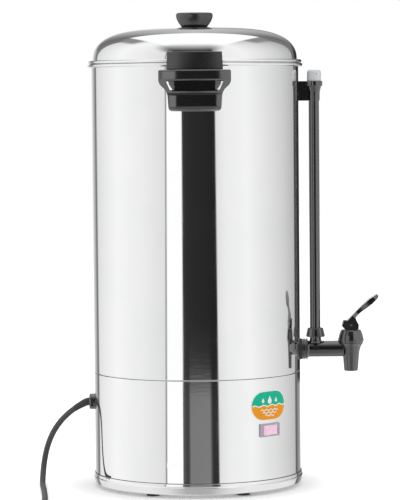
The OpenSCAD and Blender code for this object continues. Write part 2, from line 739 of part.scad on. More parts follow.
module gauge_glass() color([0.85, 0.93, 0.97, 0.5]) translate([gauge_x, 0, glass_low_z])
    sleeve(glass_d, glass_d - 2 * glass_t, glass_top_z - glass_low_z);

module gauge_guard() color(black) translate([gauge_x, 0, gauge_nut_top_z]) difference() {
    sleeve(guard_d, guard_bore_d, guard_top_z - gauge_nut_top_z);
    translate([0, -guard_slot_w / 2, -cut]) cube([guard_d, guard_slot_w, tank_h + base_h]);
}

module gauge_bracket() color(black) difference() {
    union() {
        translate([gauge_x, 0, bracket_top_z - bracket_h])
            cylinder(d = bracket_sleeve_d, h = bracket_h);
        translate([gauge_x, 0, bracket_top_z - bracket_flange_t])
            cylinder(d = bracket_flange_d, h = bracket_flange_t);
        translate([body_r / 2, -bracket_arm_w / 2, bracket_top_z - bracket_h])
            cube([gauge_x - body_r / 2, bracket_arm_w, bracket_h]);
    }
    cylinder(r = body_r + fit, h = 2 * mouth_z, $fn = wall_fn);
    translate([gauge_x, 0, bracket_top_z - bracket_h - cut])
        cylinder(d = guard_d + 2 * fit, h = guard_top_z - bracket_top_z + bracket_h + cut);
    translate([gauge_x, 0, 0]) cylinder(d = glass_d + 2 * screw_fit, h = 2 * mouth_z);
    spoke(90, bracket_screw_z, bracket_screw_d + 2 * fit, body_r / 2,
        body_r + bracket_screw_len + fit);
}

module bracket_screw() color(satin) wall_screw(90, bracket_screw_z, inner_r, bracket_screw_d,
    bracket_screw_head_d, bracket_screw_head_h, body_r + bracket_screw_len);

module gauge_cap() color([0.9, 0.93, 0.95, 0.4]) translate([gauge_x, 0, bracket_top_z]) difference() {
    rotate_extrude() polygon(concat(
        [[0, 0], [cap_d / 2, 0], [cap_d / 2, cap_h - cap_soft]],
        [for (a = [15:15:90]) [cap_d / 2 * cos(a), cap_h - cap_soft + cap_soft * sin(a)]]));
    translate([0, 0, -cut]) cylinder(d = glass_d + 2 * screw_fit, h = cut + cap_h - cap_soft);
    for (i = [0:cap_holes - 1]) rotate([0, 0, i * 360 / cap_holes])
        translate([0, 0, cap_h - cap_soft - 1.4]) rotate([0, 90, 0]) cylinder(d = 1.2, h = cap_d);
}

// ---- switch --------------------------------------------------------------------------------

face_y = body_r + bezel_t;
rocker_axis_y = face_y - rocker_axis_depth;
pocket_y = rocker_axis_y - 5.2 - rocker_clear;

module switch_housing() color([0.62, 0.6, 0.66]) facing(switch_azimuth) translate([0, 0, switch_h])
    difference() {
        union() {
            difference() {
                translate([-bezel_w / 2, -face_y, -bezel_h / 2])
                    cube([bezel_w, bezel_t + 3, bezel_h]);
                translate([0, 0, -bezel_h]) cylinder(r = body_r + fit, h = 2 * bezel_h, $fn = wall_fn);
            }
            translate([-housing_w / 2, -body_r - bezel_t / 2, -housing_h / 2])
                cube([housing_w, housing_depth, housing_h]);
        }
        translate([-rocker_r - rocker_clear, -face_y - cut, -rocker_h / 2 - 0.2])
            cube([2 * rocker_r + 2 * rocker_clear, face_y - pocket_y + cut, rocker_h + 0.4]);
        translate([0, -rocker_axis_y, -rocker_h / 2 - rocker_pin_len - 0.1])
            cylinder(d = rocker_pin_d + 2 * run_fit, h = rocker_h + 2 * rocker_pin_len + 0.2);
    }

module switch_rocker() color([0.93, 0.62, 0.74, 0.8]) facing(switch_azimuth)
    translate([0, -rocker_axis_y, switch_h]) rotate([0, 0, rocker_tilt / 2]) {
        rise = rocker_r * tan(rocker_tilt / 2);
        translate([0, 0, -rocker_h / 2]) linear_extrude(height = rocker_h) intersection() {
            circle(r = rocker_r);
            polygon([[-rocker_r, rocker_back], [-rocker_r, -rocker_face - rise],
                [0, -rocker_face], [rocker_r, -rocker_face - rise], [rocker_r, rocker_back]]);
        }
        translate([0, 0, -rocker_h / 2 - rocker_pin_len])
            cylinder(d = rocker_pin_d, h = rocker_h + 2 * rocker_pin_len);
    }

// ---- mains lead ----------------------------------------------------------------------------

module cord_gland() color(black) {
    spoke(-90, gland_h, gland_thread_d, inner_r - gland_thread_in, body_r + 1);
    difference() {
        union() {
            spoke(-90, gland_h, gland_d, body_r - 2, body_r + gland_out - 2);
            outward(-90, gland_h) translate([0, 0, body_r + gland_out - 2])
                cylinder(d1 = gland_d, d2 = gland_d - 5, h = 2);
        }
        cylinder(r = body_r + fit, h = 2 * gland_h, $fn = wall_fn);
    }
}

module gland_nut() color(black) difference() {
    seat = seat_in(inner_r, gland_nut_r);
    outward(-90, gland_h) translate([0, 0, seat - gland_nut_t])
        cylinder(r = gland_nut_r, h = gland_nut_t, $fn = 6);
    spoke(-90, gland_h, gland_thread_d + 2 * fit, body_r / 2, body_r);
}

// A smooth path through the points, and its direction, as one list of [place, direction]
function smooth(p, first, last, steps) = let (n = len(p)) concat(
    [for (k = [0:n - 2]) let (
        a = p[k], b = p[k + 1],
        ta = k == 0 ? first : (p[k + 1] - p[k - 1]) / 2,
        tb = k == n - 2 ? last : (p[k + 2] - p[k]) / 2)
        for (i = [0:steps - 1]) let (t = i / steps)
            [a * (1 + 2 * t) * pow(1 - t, 2) + ta * t * pow(1 - t, 2)
                + b * t * t * (3 - 2 * t) + tb * t * t * (t - 1),
             a * 6 * t * (t - 1) + ta * (1 - 4 * t + 3 * t * t)
                + b * 6 * t * (1 - t) + tb * (3 * t * t - 2 * t)]],
    [[p[n - 1], last]]);

function above_floor(p) = [p.x, p.y, max(p.z, cord_d / 2)];

module cord_run(points, first, last) {
    path = smooth(points, first, last, cord_steps);
    swept([for (s = path) above_floor(s[0])], [for (s = path) s[1]], cord_d / 2, cord_sides);
}

module cord_lead() color(rubber)
    cord_run(concat([cord_start], cord_points), 11 * cord_leave, [0, -50, 0]);

module cord_coil() color(rubber) translate([coil_centre.x, coil_centre.y, 0])
    band(coil_inner - cord_d / 2 - coil_room, coil_outer + cord_d / 2 + coil_room, 0, 2 * cord_d + 0.4);

module cord_tail() color(rubber)
    cord_run(tail_points, [20, 0, 0], [20, 0, 0]);

module plug() color(black) translate([plug_x, plug_y, plug_axis_z]) rotate([0, 90, 0]) difference() {
    union() {
        rotate_extrude() polygon([
            [0, 0], [cord_d / 2 + 1, 0], [plug_boot_d / 2, plug_boot_len], [plug_grip_d / 2 - 3, plug_boot_len],
            [plug_grip_d / 2, plug_boot_len + 4], [plug_face_d / 2, plug_boot_len + plug_len - 12],
            [plug_face_d / 2, plug_boot_len + plug_len], [0, plug_boot_len + plug_len]]);
        for (side = [-1, 1]) translate([0, side * plug_pin_gap / 2, plug_boot_len + plug_len - cut])
            cylinder(d = plug_pin_d, h = plug_pin_len + cut);
    }
}

// ---- lid -----------------------------------------------------------------------------------

// The dome's section, from the apex at t = 0 to the foot at t = 90
function dome_point(t, r, h) = [r * sqrt(sin(t)), dome_z + h * pow(cos(t), 0.86)];
function dome_curve(r, h) = [for (t = [0:5:90]) dome_point(t, r, h)];
function reversed(points) = [for (i = [len(points) - 1:-1:0]) points[i]];

module lid_shell() color(steel) difference() {
    flange_z = lid_z + flange_low;
    flange_r = lid_bead_r - lid_bead_d / 8;
    rotate_extrude() {
        polygon(concat(
            dome_curve(dome_r - sheet_t, dome_h - sheet_t),
            [[dome_r - sheet_t, flange_z], [flange_r, flange_z],
             [flange_r, flange_z + sheet_t], [dome_r, flange_z + sheet_t]],
            reversed(dome_curve(dome_r, dome_h))));
        translate([lid_bead_r, lid_z + lid_bead_d / 2]) circle(d = lid_bead_d);
    }
    translate([0, 0, dome_z]) cylinder(d = knob_screw_d + 2 * screw_fit, h = 2 * dome_h);
    for (side = [0, 180]) for (turn = [-1, 1])
        spoke(side + turn * lug_screw_azimuth, lug_screw_z, lug_screw_d + 2 * screw_fit,
            body_r / 2, body_r + cut);
}

module lid_ring() color(satin)
    band(lid_ring_r - sheet_t, lid_ring_r, lid_z + flange_low - lid_ring_h, lid_ring_h);

module lid_lug(azimuth) color(black) facing(azimuth) difference() {
    low = lug_top_z - lug_h;
    intersection() {
        rotate_extrude() difference() {
            translate([body_r / 2, low]) square([lug_r - body_r / 2, lug_h]);
            translate([0, low - cut]) square([body_r + bead_out + lug_clear, dome_z + lug_clear - low + cut]);
            polygon(concat([[0, 0]], dome_curve(dome_r + fit, dome_h + fit), [[dome_r + fit, 0]]));
        }
        front_slab(body_r / 2, lug_r + cut) polygon([
            [-lug_w / 2, low], [lug_w / 2, low], [lug_w / 2 - lug_splay, lug_top_z - soft_edge],
            [lug_w / 2 - lug_splay - soft_edge / 2, lug_top_z],
            [-lug_w / 2 + lug_splay + soft_edge / 2, lug_top_z],
            [-lug_w / 2 + lug_splay, lug_top_z - soft_edge]]);
    }
    for (turn = [-1, 1]) spoke(turn * lug_screw_azimuth, lug_screw_z, lug_screw_d + 2 * fit,
        body_r / 2, dome_r + lug_screw_len + fit);
}

module lug_screw(azimuth) color(satin) wall_screw(azimuth, lug_screw_z, lug_seat_r,
    lug_screw_d, lug_screw_head_d, lug_screw_head_h, dome_r + lug_screw_len);

module knob_washer() color(black) translate([0, 0, apex_z])
    sleeve(washer_d, knob_screw_d + 2 * screw_fit, washer_t);

module knob() color(black) translate([0, 0, knob_z]) difference() {
    flare = (knob_d - knob_foot_d) / 2;
    rotate_extrude() polygon(concat(
        [[0, 0]],
        [for (a = [0:15:90]) [knob_foot_d / 2 + flare * sin(a), (knob_h - knob_edge) * a / 90]],
        arc(knob_d / 2 - knob_edge, knob_h - knob_edge, knob_edge, 15, 90),
        [[0, knob_h]]));
    translate([0, 0, -cut]) cylinder(d = knob_screw_d + 2 * fit, h = knob_screw_len + cut + fit);
}

module knob_screw() color(satin) {
    seat = apex_z - sheet_t - 0.02;
    translate([0, 0, seat - knob_screw_head_h]) cylinder(d = knob_screw_head_d, h = knob_screw_head_h);
    translate([0, 0, seat - knob_screw_head_h])
        cylinder(d = knob_screw_d, h = knob_z + knob_screw_len - seat + knob_screw_head_h);
}

// ---- the whole -----------------------------------------------------------------------------

base_plate();
base_shell();
for (i = [1:foot_count]) foot(i - 1);
tank_shell();
heat_plate();
heating_element();
thermostat();
thermal_cutout();
terminal_block();
centre_stud();
centre_nut();
handle(0);  // handle_front
handle(180);  // handle_rear
for (i = [0:3]) handle_screw((i < 2 ? 0 : 180) + (i % 2 == 0 ? -1 : 1) * handle_screw_azimuth);
tap_body();
tap_gasket();
tap_inner_seal();
tap_nut();
tap_bonnet();
tap_stem();
tap_seat_cup();
tap_spring();
tap_lever();
lever_pin();
gauge_nut();
gauge_seal();
gauge_glass();
gauge_guard();
gauge_bracket();
gauge_cap();
bracket_screw();
switch_housing();
switch_rocker();
cord_gland();
gland_nut();
cord_lead();
cord_coil();
cord_tail();
plug();
lid_shell();
lid_ring();
lid_lug(0);  // lid_lug_front
lid_lug(180);  // lid_lug_rear
for (i = [0:3]) lug_screw((i < 2 ? 0 : 180) + (i % 2 == 0 ? -1 : 1) * lug_screw_azimuth);
knob_washer();
knob();
knob_screw();
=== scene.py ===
# %% [markdown]
# # A hot water urn, dressed piece by piece
# The solid model of the urn is loaded first, as a fixed frame in metres. Its thin sheet metal,
# mouldings and lead are then modelled again with the softness and finish of the real ones.
# Everything is placed from the same sizes as the solid model, so nothing has to be fitted by eye.

# %% Load the frame
import json
import math

import bpy
from mathutils import Matrix, Vector

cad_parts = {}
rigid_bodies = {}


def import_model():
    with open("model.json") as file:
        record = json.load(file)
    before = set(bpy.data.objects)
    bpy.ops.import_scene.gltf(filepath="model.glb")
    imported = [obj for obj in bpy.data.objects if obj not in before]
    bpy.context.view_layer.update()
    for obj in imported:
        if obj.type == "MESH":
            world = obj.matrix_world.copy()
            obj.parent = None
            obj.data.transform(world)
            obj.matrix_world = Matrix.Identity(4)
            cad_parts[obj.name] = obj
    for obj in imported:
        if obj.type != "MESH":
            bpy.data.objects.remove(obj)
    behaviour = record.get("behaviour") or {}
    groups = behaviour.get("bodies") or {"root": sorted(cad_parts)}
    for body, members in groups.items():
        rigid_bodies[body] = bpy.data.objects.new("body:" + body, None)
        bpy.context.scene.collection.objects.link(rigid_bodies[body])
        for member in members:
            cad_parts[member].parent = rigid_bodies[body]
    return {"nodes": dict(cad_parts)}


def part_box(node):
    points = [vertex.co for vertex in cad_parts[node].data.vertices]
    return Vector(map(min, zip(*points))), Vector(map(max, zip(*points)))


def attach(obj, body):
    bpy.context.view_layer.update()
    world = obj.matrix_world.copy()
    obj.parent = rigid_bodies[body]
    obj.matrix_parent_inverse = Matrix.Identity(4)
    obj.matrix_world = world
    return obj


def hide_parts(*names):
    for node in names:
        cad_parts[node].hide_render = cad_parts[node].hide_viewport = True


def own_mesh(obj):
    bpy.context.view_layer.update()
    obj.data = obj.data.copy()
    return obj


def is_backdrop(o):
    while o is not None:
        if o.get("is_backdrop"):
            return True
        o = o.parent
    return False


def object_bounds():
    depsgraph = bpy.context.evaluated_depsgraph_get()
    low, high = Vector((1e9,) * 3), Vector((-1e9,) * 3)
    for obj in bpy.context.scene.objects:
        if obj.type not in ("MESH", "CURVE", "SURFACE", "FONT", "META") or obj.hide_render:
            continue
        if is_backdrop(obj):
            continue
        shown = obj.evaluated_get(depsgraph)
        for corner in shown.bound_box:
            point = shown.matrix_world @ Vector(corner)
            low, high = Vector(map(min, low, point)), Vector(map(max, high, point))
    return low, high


for start_up in list(bpy.data.objects):
    bpy.data.objects.remove(start_up)
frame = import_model()
cad_low, cad_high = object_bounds()
print("solid model, in metres:", [round(v, 3) for v in cad_high - cad_low])

# %% [markdown]
# ## The sizes
# A maker works from one sheet of sizes. Lengths here are in millimetres, as on a drawing, and
# MM turns them into Blender's metres. Z is the height above the floor, the tap points along +X,
# the lead leaves along -X and the front handle faces -Y, towards the camera.

# %% Sizes of the urn
MM = 0.001
BODY_R = 125
INNER_R = 124.2
SEAM_Z = 139
TANK_FLOOR_Z = 147
LID_Z = 511.5
DOME_Z = 515.4
DOME_R = 123.4
DOME_H = 38.5
APEX_Z = DOME_Z + DOME_H
KNOB_Z = APEX_Z + 1
GRIP_R = 158
GRIP_TOP_Z = 502.8
GRIP_LOW_Z = 490.5
BLOCK_R = 148
BLOCK_TOP_Z = 478
BLOCK_LOW_Z = 454.8
POST_R = 139
TAP_X = 187
TAP_Z = 164
PIN_Z = 193
GAUGE_X = 144
SWITCH_AZIMUTH = 43
SWITCH_Z = 77
GLAND_Z = 102
CORD_D = 7

# %% [markdown]
# ## The camera
# The photograph was taken from about three metres with a long lens, a little above the
# middle of the urn. The long side of the picture is 500 pixels, so the lens follows from
# the distance at which one pixel covers a known length. The urn leans by half a degree in
# the picture, which is a roll of the camera and not of the urn.

# %% Camera
FOCAL_PIXELS = 2682
PICTURE_LONG_SIDE = 500
PITCH = math.radians(3.39)
ROLL = math.radians(-0.489)

bpy.ops.object.camera_add(location=(0.00448, -3.25, 0.478))
camera = bpy.context.object
camera.name = "camera"
camera.rotation_euler = (Matrix.Rotation(math.pi / 2 - PITCH, 3, "X") @ Matrix.Rotation(ROLL, 3, "Z")).to_euler()
camera.data.sensor_width = 36
camera.data.lens = 36 * FOCAL_PIXELS / PICTURE_LONG_SIDE
camera.data.clip_end = 50
bpy.context.scene.camera = camera
print("lens in mm:", round(camera.data.lens, 1))

# %% [markdown]
# ## Helpers for modelling
# Most of the urn is turned or pressed sheet, so most pieces start as a line of edges that is
# extruded point by point, and is then spun round an axis or extruded into a slab. Slabs and
# spun shapes cut each other with booleans, and a small bevel takes the sharpness off.

# %% Selecting and applying
def deselect():
    bpy.ops.object.select_all(action="DESELECT")


def only(piece):
    deselect()
    piece.select_set(True)
    bpy.context.view_layer.objects.active = piece


def applied(piece, kind, **values):
    """Adds a modifier with these values and applies it."""
    only(piece)
    modifier = piece.modifiers.new(kind.title(), kind)
    for name, value in values.items():
        setattr(modifier, name, value)
    bpy.ops.object.modifier_apply(modifier=modifier.name)
    return piece


def cut(piece, *tools):
    """Takes the tools away from the piece."""
    for tool in tools:
        applied(piece, "BOOLEAN", operation="DIFFERENCE", object=tool, solver="EXACT")
        bpy.data.objects.remove(tool)
    return piece


def common(piece, tool):
    """Leaves what the piece and the tool share."""
    applied(piece, "BOOLEAN", operation="INTERSECT", object=tool, solver="EXACT")
    bpy.data.objects.remove(tool)
    return piece


def joined(piece, *others):
    """Makes one piece of several that are fused."""
    for other in others:
        applied(piece, "BOOLEAN", operation="UNION", object=other, solver="EXACT")
        bpy.data.objects.remove(other)
    return piece


# %% Drawing a line of edges from point to point
def line_of(name, points):
    deselect()
    bpy.ops.mesh.primitive_circle_add(vertices=3, radius=MM)
    piece = bpy.context.object
    piece.name = piece.data.name = name
    bpy.ops.object.mode_set(mode="EDIT")
    bpy.ops.mesh.select_all(action="SELECT")
    bpy.ops.mesh.merge(type="CENTER")
    bpy.ops.transform.translate(value=Vector(points[0]) * MM)
    for a, b in zip(points, points[1:]):
        bpy.ops.mesh.extrude_region_move(TRANSFORM_OT_translate={"value": (Vector(b) - Vector(a)) * MM})
    return piece


def closed_up():
    """Merges what meets and turns the faces outwards, then leaves edit mode."""
    bpy.ops.mesh.select_all(action="SELECT")
    bpy.ops.mesh.remove_doubles(threshold=2e-6)
    bpy.ops.mesh.normals_make_consistent(inside=False)
    bpy.ops.object.mode_set(mode="OBJECT")


def soft(points, radius, steps=3):
    """The same line with its corners rounded. The ends stay where they are."""
    out = [Vector(points[0])]
    for before, here, after in zip(points, points[1:], points[2:]):
        before, here, after = Vector(before), Vector(here), Vector(after)
        back, on = before - here, after - here
        reach = min(radius, back.length * 0.45, on.length * 0.45)
        a, b = here + back.normalized() * reach, here + on.normalized() * reach
        for i in range(steps + 1):
            t = i / steps
            out.append(a * (1 - t) ** 2 + here * 2 * t * (1 - t) + b * t * t)
    return out + [Vector(points[-1])]


def arc(x, y, r, start, end, steps=6):
    angles = [math.radians(start + (end - start) * i / steps) for i in range(steps + 1)]
    return [(x + r * math.cos(a), y + r * math.sin(a)) for a in angles]


# %% Turning, slabs, bars and blocks
def smooth(piece, angle=35):
    only(piece)
    bpy.ops.object.shade_smooth_by_angle(angle=math.radians(angle))
    return piece


def turned(name, section, steps=96, x=0, y=0):
    """A closed section, as radius and height, spun round an upright axis."""
    piece = line_of(name, [(x + r, y, z) for r, z in section])
    bpy.ops.mesh.select_all(action="SELECT")
    bpy.ops.mesh.spin(steps=steps, angle=2 * math.pi, center=(x * MM, y * MM, 0), axis=(0, 0, 1))
    closed_up()
    return smooth(piece)


def turned_along_x(name, section, z, steps=64, y=0):
    """A closed section, as distance along X and radius, spun round a level axis at height z."""
    piece = line_of(name, [(x, y, z + r) for x, r in section])
    bpy.ops.mesh.select_all(action="SELECT")
    bpy.ops.mesh.spin(steps=steps, angle=2 * math.pi, center=(0, y * MM, z * MM), axis=(1, 0, 0))
    closed_up()
    return smooth(piece)


def swung(name, section, angles):
    """A closed section, as radius and height, spun in front of the body from angle to angle."""
    a = math.radians(angles[0])
    piece = line_of(name, [(r * math.sin(a), -r * math.cos(a), z) for r, z in section + section[:1]])
    closed_up()
    only(piece)
    bpy.ops.object.mode_set(mode="EDIT")
    bpy.ops.mesh.select_all(action="SELECT")
    bpy.ops.mesh.edge_face_add()
    for before, after in zip(angles, angles[1:]):
        bpy.ops.mesh.spin(steps=1, angle=math.radians(before - after), center=(0, 0, 0), axis=(0, 0, 1))
    closed_up()
    return piece


def prism(name, points, along):
    """A closed outline extruded by one vector."""
    piece = line_of(name, list(points) + [points[0]])
    closed_up()
    only(piece)
    bpy.ops.object.mode_set(mode="EDIT")
    bpy.ops.mesh.select_all(action="SELECT")
    bpy.ops.mesh.edge_face_add()
    bpy.ops.mesh.extrude_region_move(TRANSFORM_OT_translate={"value": Vector(along) * MM})
    closed_up()
    return piece


def front_slab(name, outline, near, far):
    """A front view, in X and Z, as a slab between two distances in front of the axis."""
    return prism(name, [(x, -near, z) for x, z in outline], (0, near - far, 0))


def block(name, low, high):
    size = Vector(high) - Vector(low)
    deselect()
    bpy.ops.mesh.primitive_cube_add(size=1, location=(Vector(low) + Vector(high)) / 2 * MM)
    piece = bpy.context.object
    piece.name = piece.data.name = name
    piece.scale = size * MM
    bpy.ops.object.transform_apply(location=True, rotation=True, scale=True)
    return piece


def bar(name, start, end, d, sides=32):
    """A round bar between two points."""
    a, b = Vector(start) * MM, Vector(end) * MM
    deselect()
    bpy.ops.mesh.primitive_cylinder_add(vertices=sides, radius=d / 2 * MM, depth=(b - a).length, location=(a + b) / 2)
    piece = bpy.context.object
    piece.name = piece.data.name = name
    piece.rotation_euler = (b - a).to_track_quat("Z", "Y").to_euler()
    bpy.ops.object.transform_apply(location=True, rotation=True, scale=True)
    return piece


def facing(piece, azimuth):
    """Turns a finished piece that faces -Y round the body, and settles it there."""
    only(piece)
    piece.rotation_euler = (0, 0, math.radians(azimuth))
    bpy.ops.object.transform_apply(location=True, rotation=True, scale=True)
    return piece


def softened(piece, width, segments=3, angle=32):
    """Bevels the sharp edges and keeps the flat faces flat in the light."""
    applied(piece, "BEVEL", width=width * MM, segments=segments, limit_method="ANGLE",
            angle_limit=math.radians(angle), use_clamp_overlap=True)
    smooth(piece, 50)
    return applied(piece, "WEIGHTED_NORMAL", keep_sharp=True)


# %% [markdown]
# ## Finishes
# Metal and plastic are told apart by how they reflect, not by their colour alone. Two node
# groups hold what all finishes share. "hand wear" makes the faint smears and fine scratches of
# a thing that is wiped every day, and "moulded skin" makes the slightly uneven skin of moulded
# plastic. Each material gives them its own scale and strength.

# %% Node helpers
def add(tree, kind, at=(0, 0), **values):
    node = tree.nodes.new(kind)
    node.location = at
    for name, value in values.items():
        setattr(node, name, value)
    return node


def linked(tree, *pairs):
    """Links each pair, which is an output and the input that it feeds."""
    for source, target in pairs:
        tree.links.new(source, target)


def maths(tree, operation, *values):
    """One sum of values that are numbers or outputs of other nodes."""
    node = add(tree, "ShaderNodeMath", operation=operation)
    for socket, value in zip(node.inputs, values):
        if isinstance(value, (int, float)):
            socket.default_value = value
        else:
            tree.links.new(value, socket)
    return node.outputs[0]


def group_of(name, inputs):
    """A node group that takes these numbers and tells a roughness, a mask and a height."""
    tree = bpy.data.node_groups.new(name, "ShaderNodeTree")
    for socket, value in inputs.items():
        tree.interface.new_socket(socket, in_out="INPUT", socket_type="NodeSocketFloat").default_value = value
    for socket in ("Roughness", "Mask", "Height"):
        tree.interface.new_socket(socket, in_out="OUTPUT", socket_type="NodeSocketFloat")
    return (tree, add(tree, "NodeGroupInput", (-900, 0)).outputs, add(tree, "NodeGroupOutput", (600, 0)).inputs,
            add(tree, "ShaderNodeTexCoord", (-1100, 200)).outputs["Object"])


def noise(tree, at, detail, distortion=0):
    texture = add(tree, "ShaderNodeTexNoise", at)
    texture.inputs["Detail"].default_value = detail
    texture.inputs["Distortion"].default_value = distortion
    return texture


# %% The group for wear by hands and cloths
hand_wear, given, told, where = group_of(
    "hand wear", {"Smear Scale": 9.0, "Line Scale": 260.0, "Smooth": 0.05, "Rough": 0.12, "Line Height": 0.02})
smear = noise(hand_wear, (-700, 200), 5, 0.6)
stretch = add(hand_wear, "ShaderNodeMapping", (-900, -200))
stretch.inputs["Scale"].default_value = (0.12, 0.12, 1.0)
lines = noise(hand_wear, (-700, -200), 3)
sharpen = add(hand_wear, "ShaderNodeMapRange", (-400, 200))
sharpen.inputs["From Min"].default_value = 0.42
sharpen.inputs["From Max"].default_value = 0.72
blend_rough = add(hand_wear, "ShaderNodeMapRange", (-100, 200))
linked(
    hand_wear,
    (where, smear.inputs["Vector"]), (given["Smear Scale"], smear.inputs["Scale"]),
    (where, stretch.inputs["Vector"]), (stretch.outputs["Vector"], lines.inputs["Vector"]),
    (given["Line Scale"], lines.inputs["Scale"]), (smear.outputs["Fac"], sharpen.inputs["Value"]),
    (sharpen.outputs["Result"], blend_rough.inputs["Value"]), (given["Smooth"], blend_rough.inputs["To Min"]),
    (given["Rough"], blend_rough.inputs["To Max"]), (blend_rough.outputs["Result"], told["Roughness"]),
    (sharpen.outputs["Result"], told["Mask"]),
    (maths(hand_wear, "MULTIPLY", lines.outputs["Fac"], given["Line Height"]), told["Height"]))

# %% The group for moulded skins
moulded_skin, given, told, where = group_of(
    "moulded skin", {"Grain Scale": 900.0, "Flow Scale": 35.0, "Smooth": 0.2, "Rough": 0.3, "Grain": 0.5})
grain = noise(moulded_skin, (-700, -200), 2)
flow = noise(moulded_skin, (-700, 200), 4)
blend_rough = add(moulded_skin, "ShaderNodeMapRange", (-100, 200))
blend_rough.inputs["From Min"].default_value = 0.35
blend_rough.inputs["From Max"].default_value = 0.7
linked(
    moulded_skin,
    (where, grain.inputs["Vector"]), (given["Grain Scale"], grain.inputs["Scale"]),
    (where, flow.inputs["Vector"]), (given["Flow Scale"], flow.inputs["Scale"]),
    (flow.outputs["Fac"], blend_rough.inputs["Value"]), (given["Smooth"], blend_rough.inputs["To Min"]),
    (given["Rough"], blend_rough.inputs["To Max"]), (blend_rough.outputs["Result"], told["Roughness"]),
    (flow.outputs["Fac"], told["Mask"]),
    (maths(moulded_skin, "MULTIPLY", grain.outputs["Fac"], given["Grain"]), told["Height"]))


# %% Materials from the two groups
RELIEF_DEPTH = 0.0004


def finish(name, group, light, dark, bump, settings, shader):
    """Two near colours that the group's mask mixes, its roughness, and its height as a bump."""
    material = bpy.data.materials.new(name)
    material.use_nodes = True
    tree = material.node_tree
    surface = tree.nodes["Principled BSDF"].inputs
    for socket, value in shader.items():
        surface[socket.replace("_", " ")].default_value = value
    skin = add(tree, "ShaderNodeGroup", (-900, 0), node_tree=group)
    for socket, value in settings.items():
        skin.inputs[socket].default_value = value
    mix = add(tree, "ShaderNodeMix", (-500, 200), data_type="RGBA")
    mix.inputs[6].default_value = (*light, 1)
    mix.inputs[7].default_value = (*dark, 1)
    relief = add(tree, "ShaderNodeBump", (-500, -200))
    relief.inputs["Strength"].default_value = bump
    relief.inputs["Distance"].default_value = RELIEF_DEPTH
    linked(
        tree, (skin.outputs["Mask"], mix.inputs[0]), (mix.outputs[2], surface["Base Color"]),
        (skin.outputs["Roughness"], surface["Roughness"]), (skin.outputs["Height"], relief.inputs["Height"]),
        (relief.outputs["Normal"], surface["Normal"]))
    return material


def worn(name, light, dark, bump, smears, scratches, smooth, rough, height, **shader):
    """A finish that hands and cloths have worn."""
    return finish(name, hand_wear, light, dark, bump, {
        "Smear Scale": smears, "Line Scale": scratches, "Smooth": smooth, "Rough": rough,
        "Line Height": height}, shader)


def moulded(name, light, dark, bump, grains, flows, smooth, rough, depth, **shader):
    """A finish that a mould has left."""
    return finish(name, moulded_skin, light, dark, bump, {
        "Grain Scale": grains, "Flow Scale": flows, "Smooth": smooth, "Rough": rough, "Grain": depth}, shader)


# %% [markdown]
# ### The metals
# The tank, base and lid are stainless steel sheet that is polished to a mirror, so nearly all of
# their look comes from the room. Only very faint smears and lines break it. The tank's inside,
# hidden plates and screws are satin, the heated plate is aluminium, and its element has a dark
# oxide skin.

# %% Metal finishes
polished_steel = worn(
    "mirror steel", (0.93, 0.93, 0.935), (0.90, 0.905, 0.91), 0.04, 11, 420, 0.035, 0.075, 0.3, Metallic=1)
satin_steel = worn("satin steel", (0.72, 0.72, 0.73), (0.6, 0.6, 0.61), 0.15, 40, 900, 0.22, 0.38, 0.6, Metallic=1)
inner_steel = worn(
    "inner tank steel", (0.6, 0.6, 0.61), (0.52, 0.52, 0.53), 0.15, 14, 500, 0.3, 0.42, 0.5, Metallic=0.55)
brass = worn("brass", (0.78, 0.57, 0.27), (0.6, 0.42, 0.2), 0.1, 60, 900, 0.2, 0.4, 0.5, Metallic=1)
aluminium = moulded("cast aluminium", (0.78, 0.78, 0.79), (0.66, 0.66, 0.68), 0.3, 700, 35, 0.35, 0.5, 1, Metallic=1)
element_skin = moulded("oxidised element", (0.2, 0.19, 0.19), (0.11, 0.1, 0.12), 0.3, 500, 60, 0.4, 0.6, 1, Metallic=1)

# %% [markdown]
# ### The plastics, rubbers and prints
# Handles, tap and gauge are glossy black mouldings. A thin coat over a slightly uneven skin
# gives the double highlight of a polished mould. The lead and the feet are duller, the gauge's
# cap is frosted, its glass is clear, and the switch's rocker is a pink plastic that glows a
# little because its neon lamp shines through it.

# %% Plastic and rubber finishes
black_gloss = moulded(
    "glossy black moulding", (0.006, 0.006, 0.0065), (0.011, 0.011, 0.0115), 0.03, 700, 30, 0.1, 0.17, 0.5,
    IOR=1.6, Specular_IOR_Level=1.0, Coat_Weight=1.0, Coat_Roughness=0.05)
black_soft = moulded(
    "soft black moulding", (0.008, 0.008, 0.0085), (0.014, 0.014, 0.0145), 0.05, 900, 30, 0.26, 0.34, 0.7,
    IOR=1.6, Specular_IOR_Level=0.9)
black_satin = moulded(
    "satin black moulding", (0.022, 0.022, 0.023), (0.035, 0.035, 0.036), 0.12, 1500, 40, 0.3, 0.42, 1)
foot_rubber = moulded("foot rubber", (0.02, 0.02, 0.021), (0.034, 0.033, 0.033), 0.3, 1800, 80, 0.6, 0.8, 1)
lead_rubber = moulded("lead jacket", (0.045, 0.045, 0.046), (0.06, 0.06, 0.061), 0.15, 1600, 60, 0.36, 0.5, 1)
silicone = moulded(
    "silicone seal", (0.62, 0.62, 0.6), (0.5, 0.5, 0.49), 0.1, 900, 35, 0.45, 0.6, 1, Subsurface_Weight=0.1)
ceramic = moulded("white ceramic", (0.82, 0.81, 0.78), (0.72, 0.71, 0.68), 0.1, 1200, 35, 0.3, 0.5, 1)
switch_grey = moulded(
    "lilac grey moulding", (0.42, 0.4, 0.45), (0.36, 0.34, 0.39), 0.06, 1400, 70, 0.2, 0.32, 0.8,
    Specular_IOR_Level=0.6)
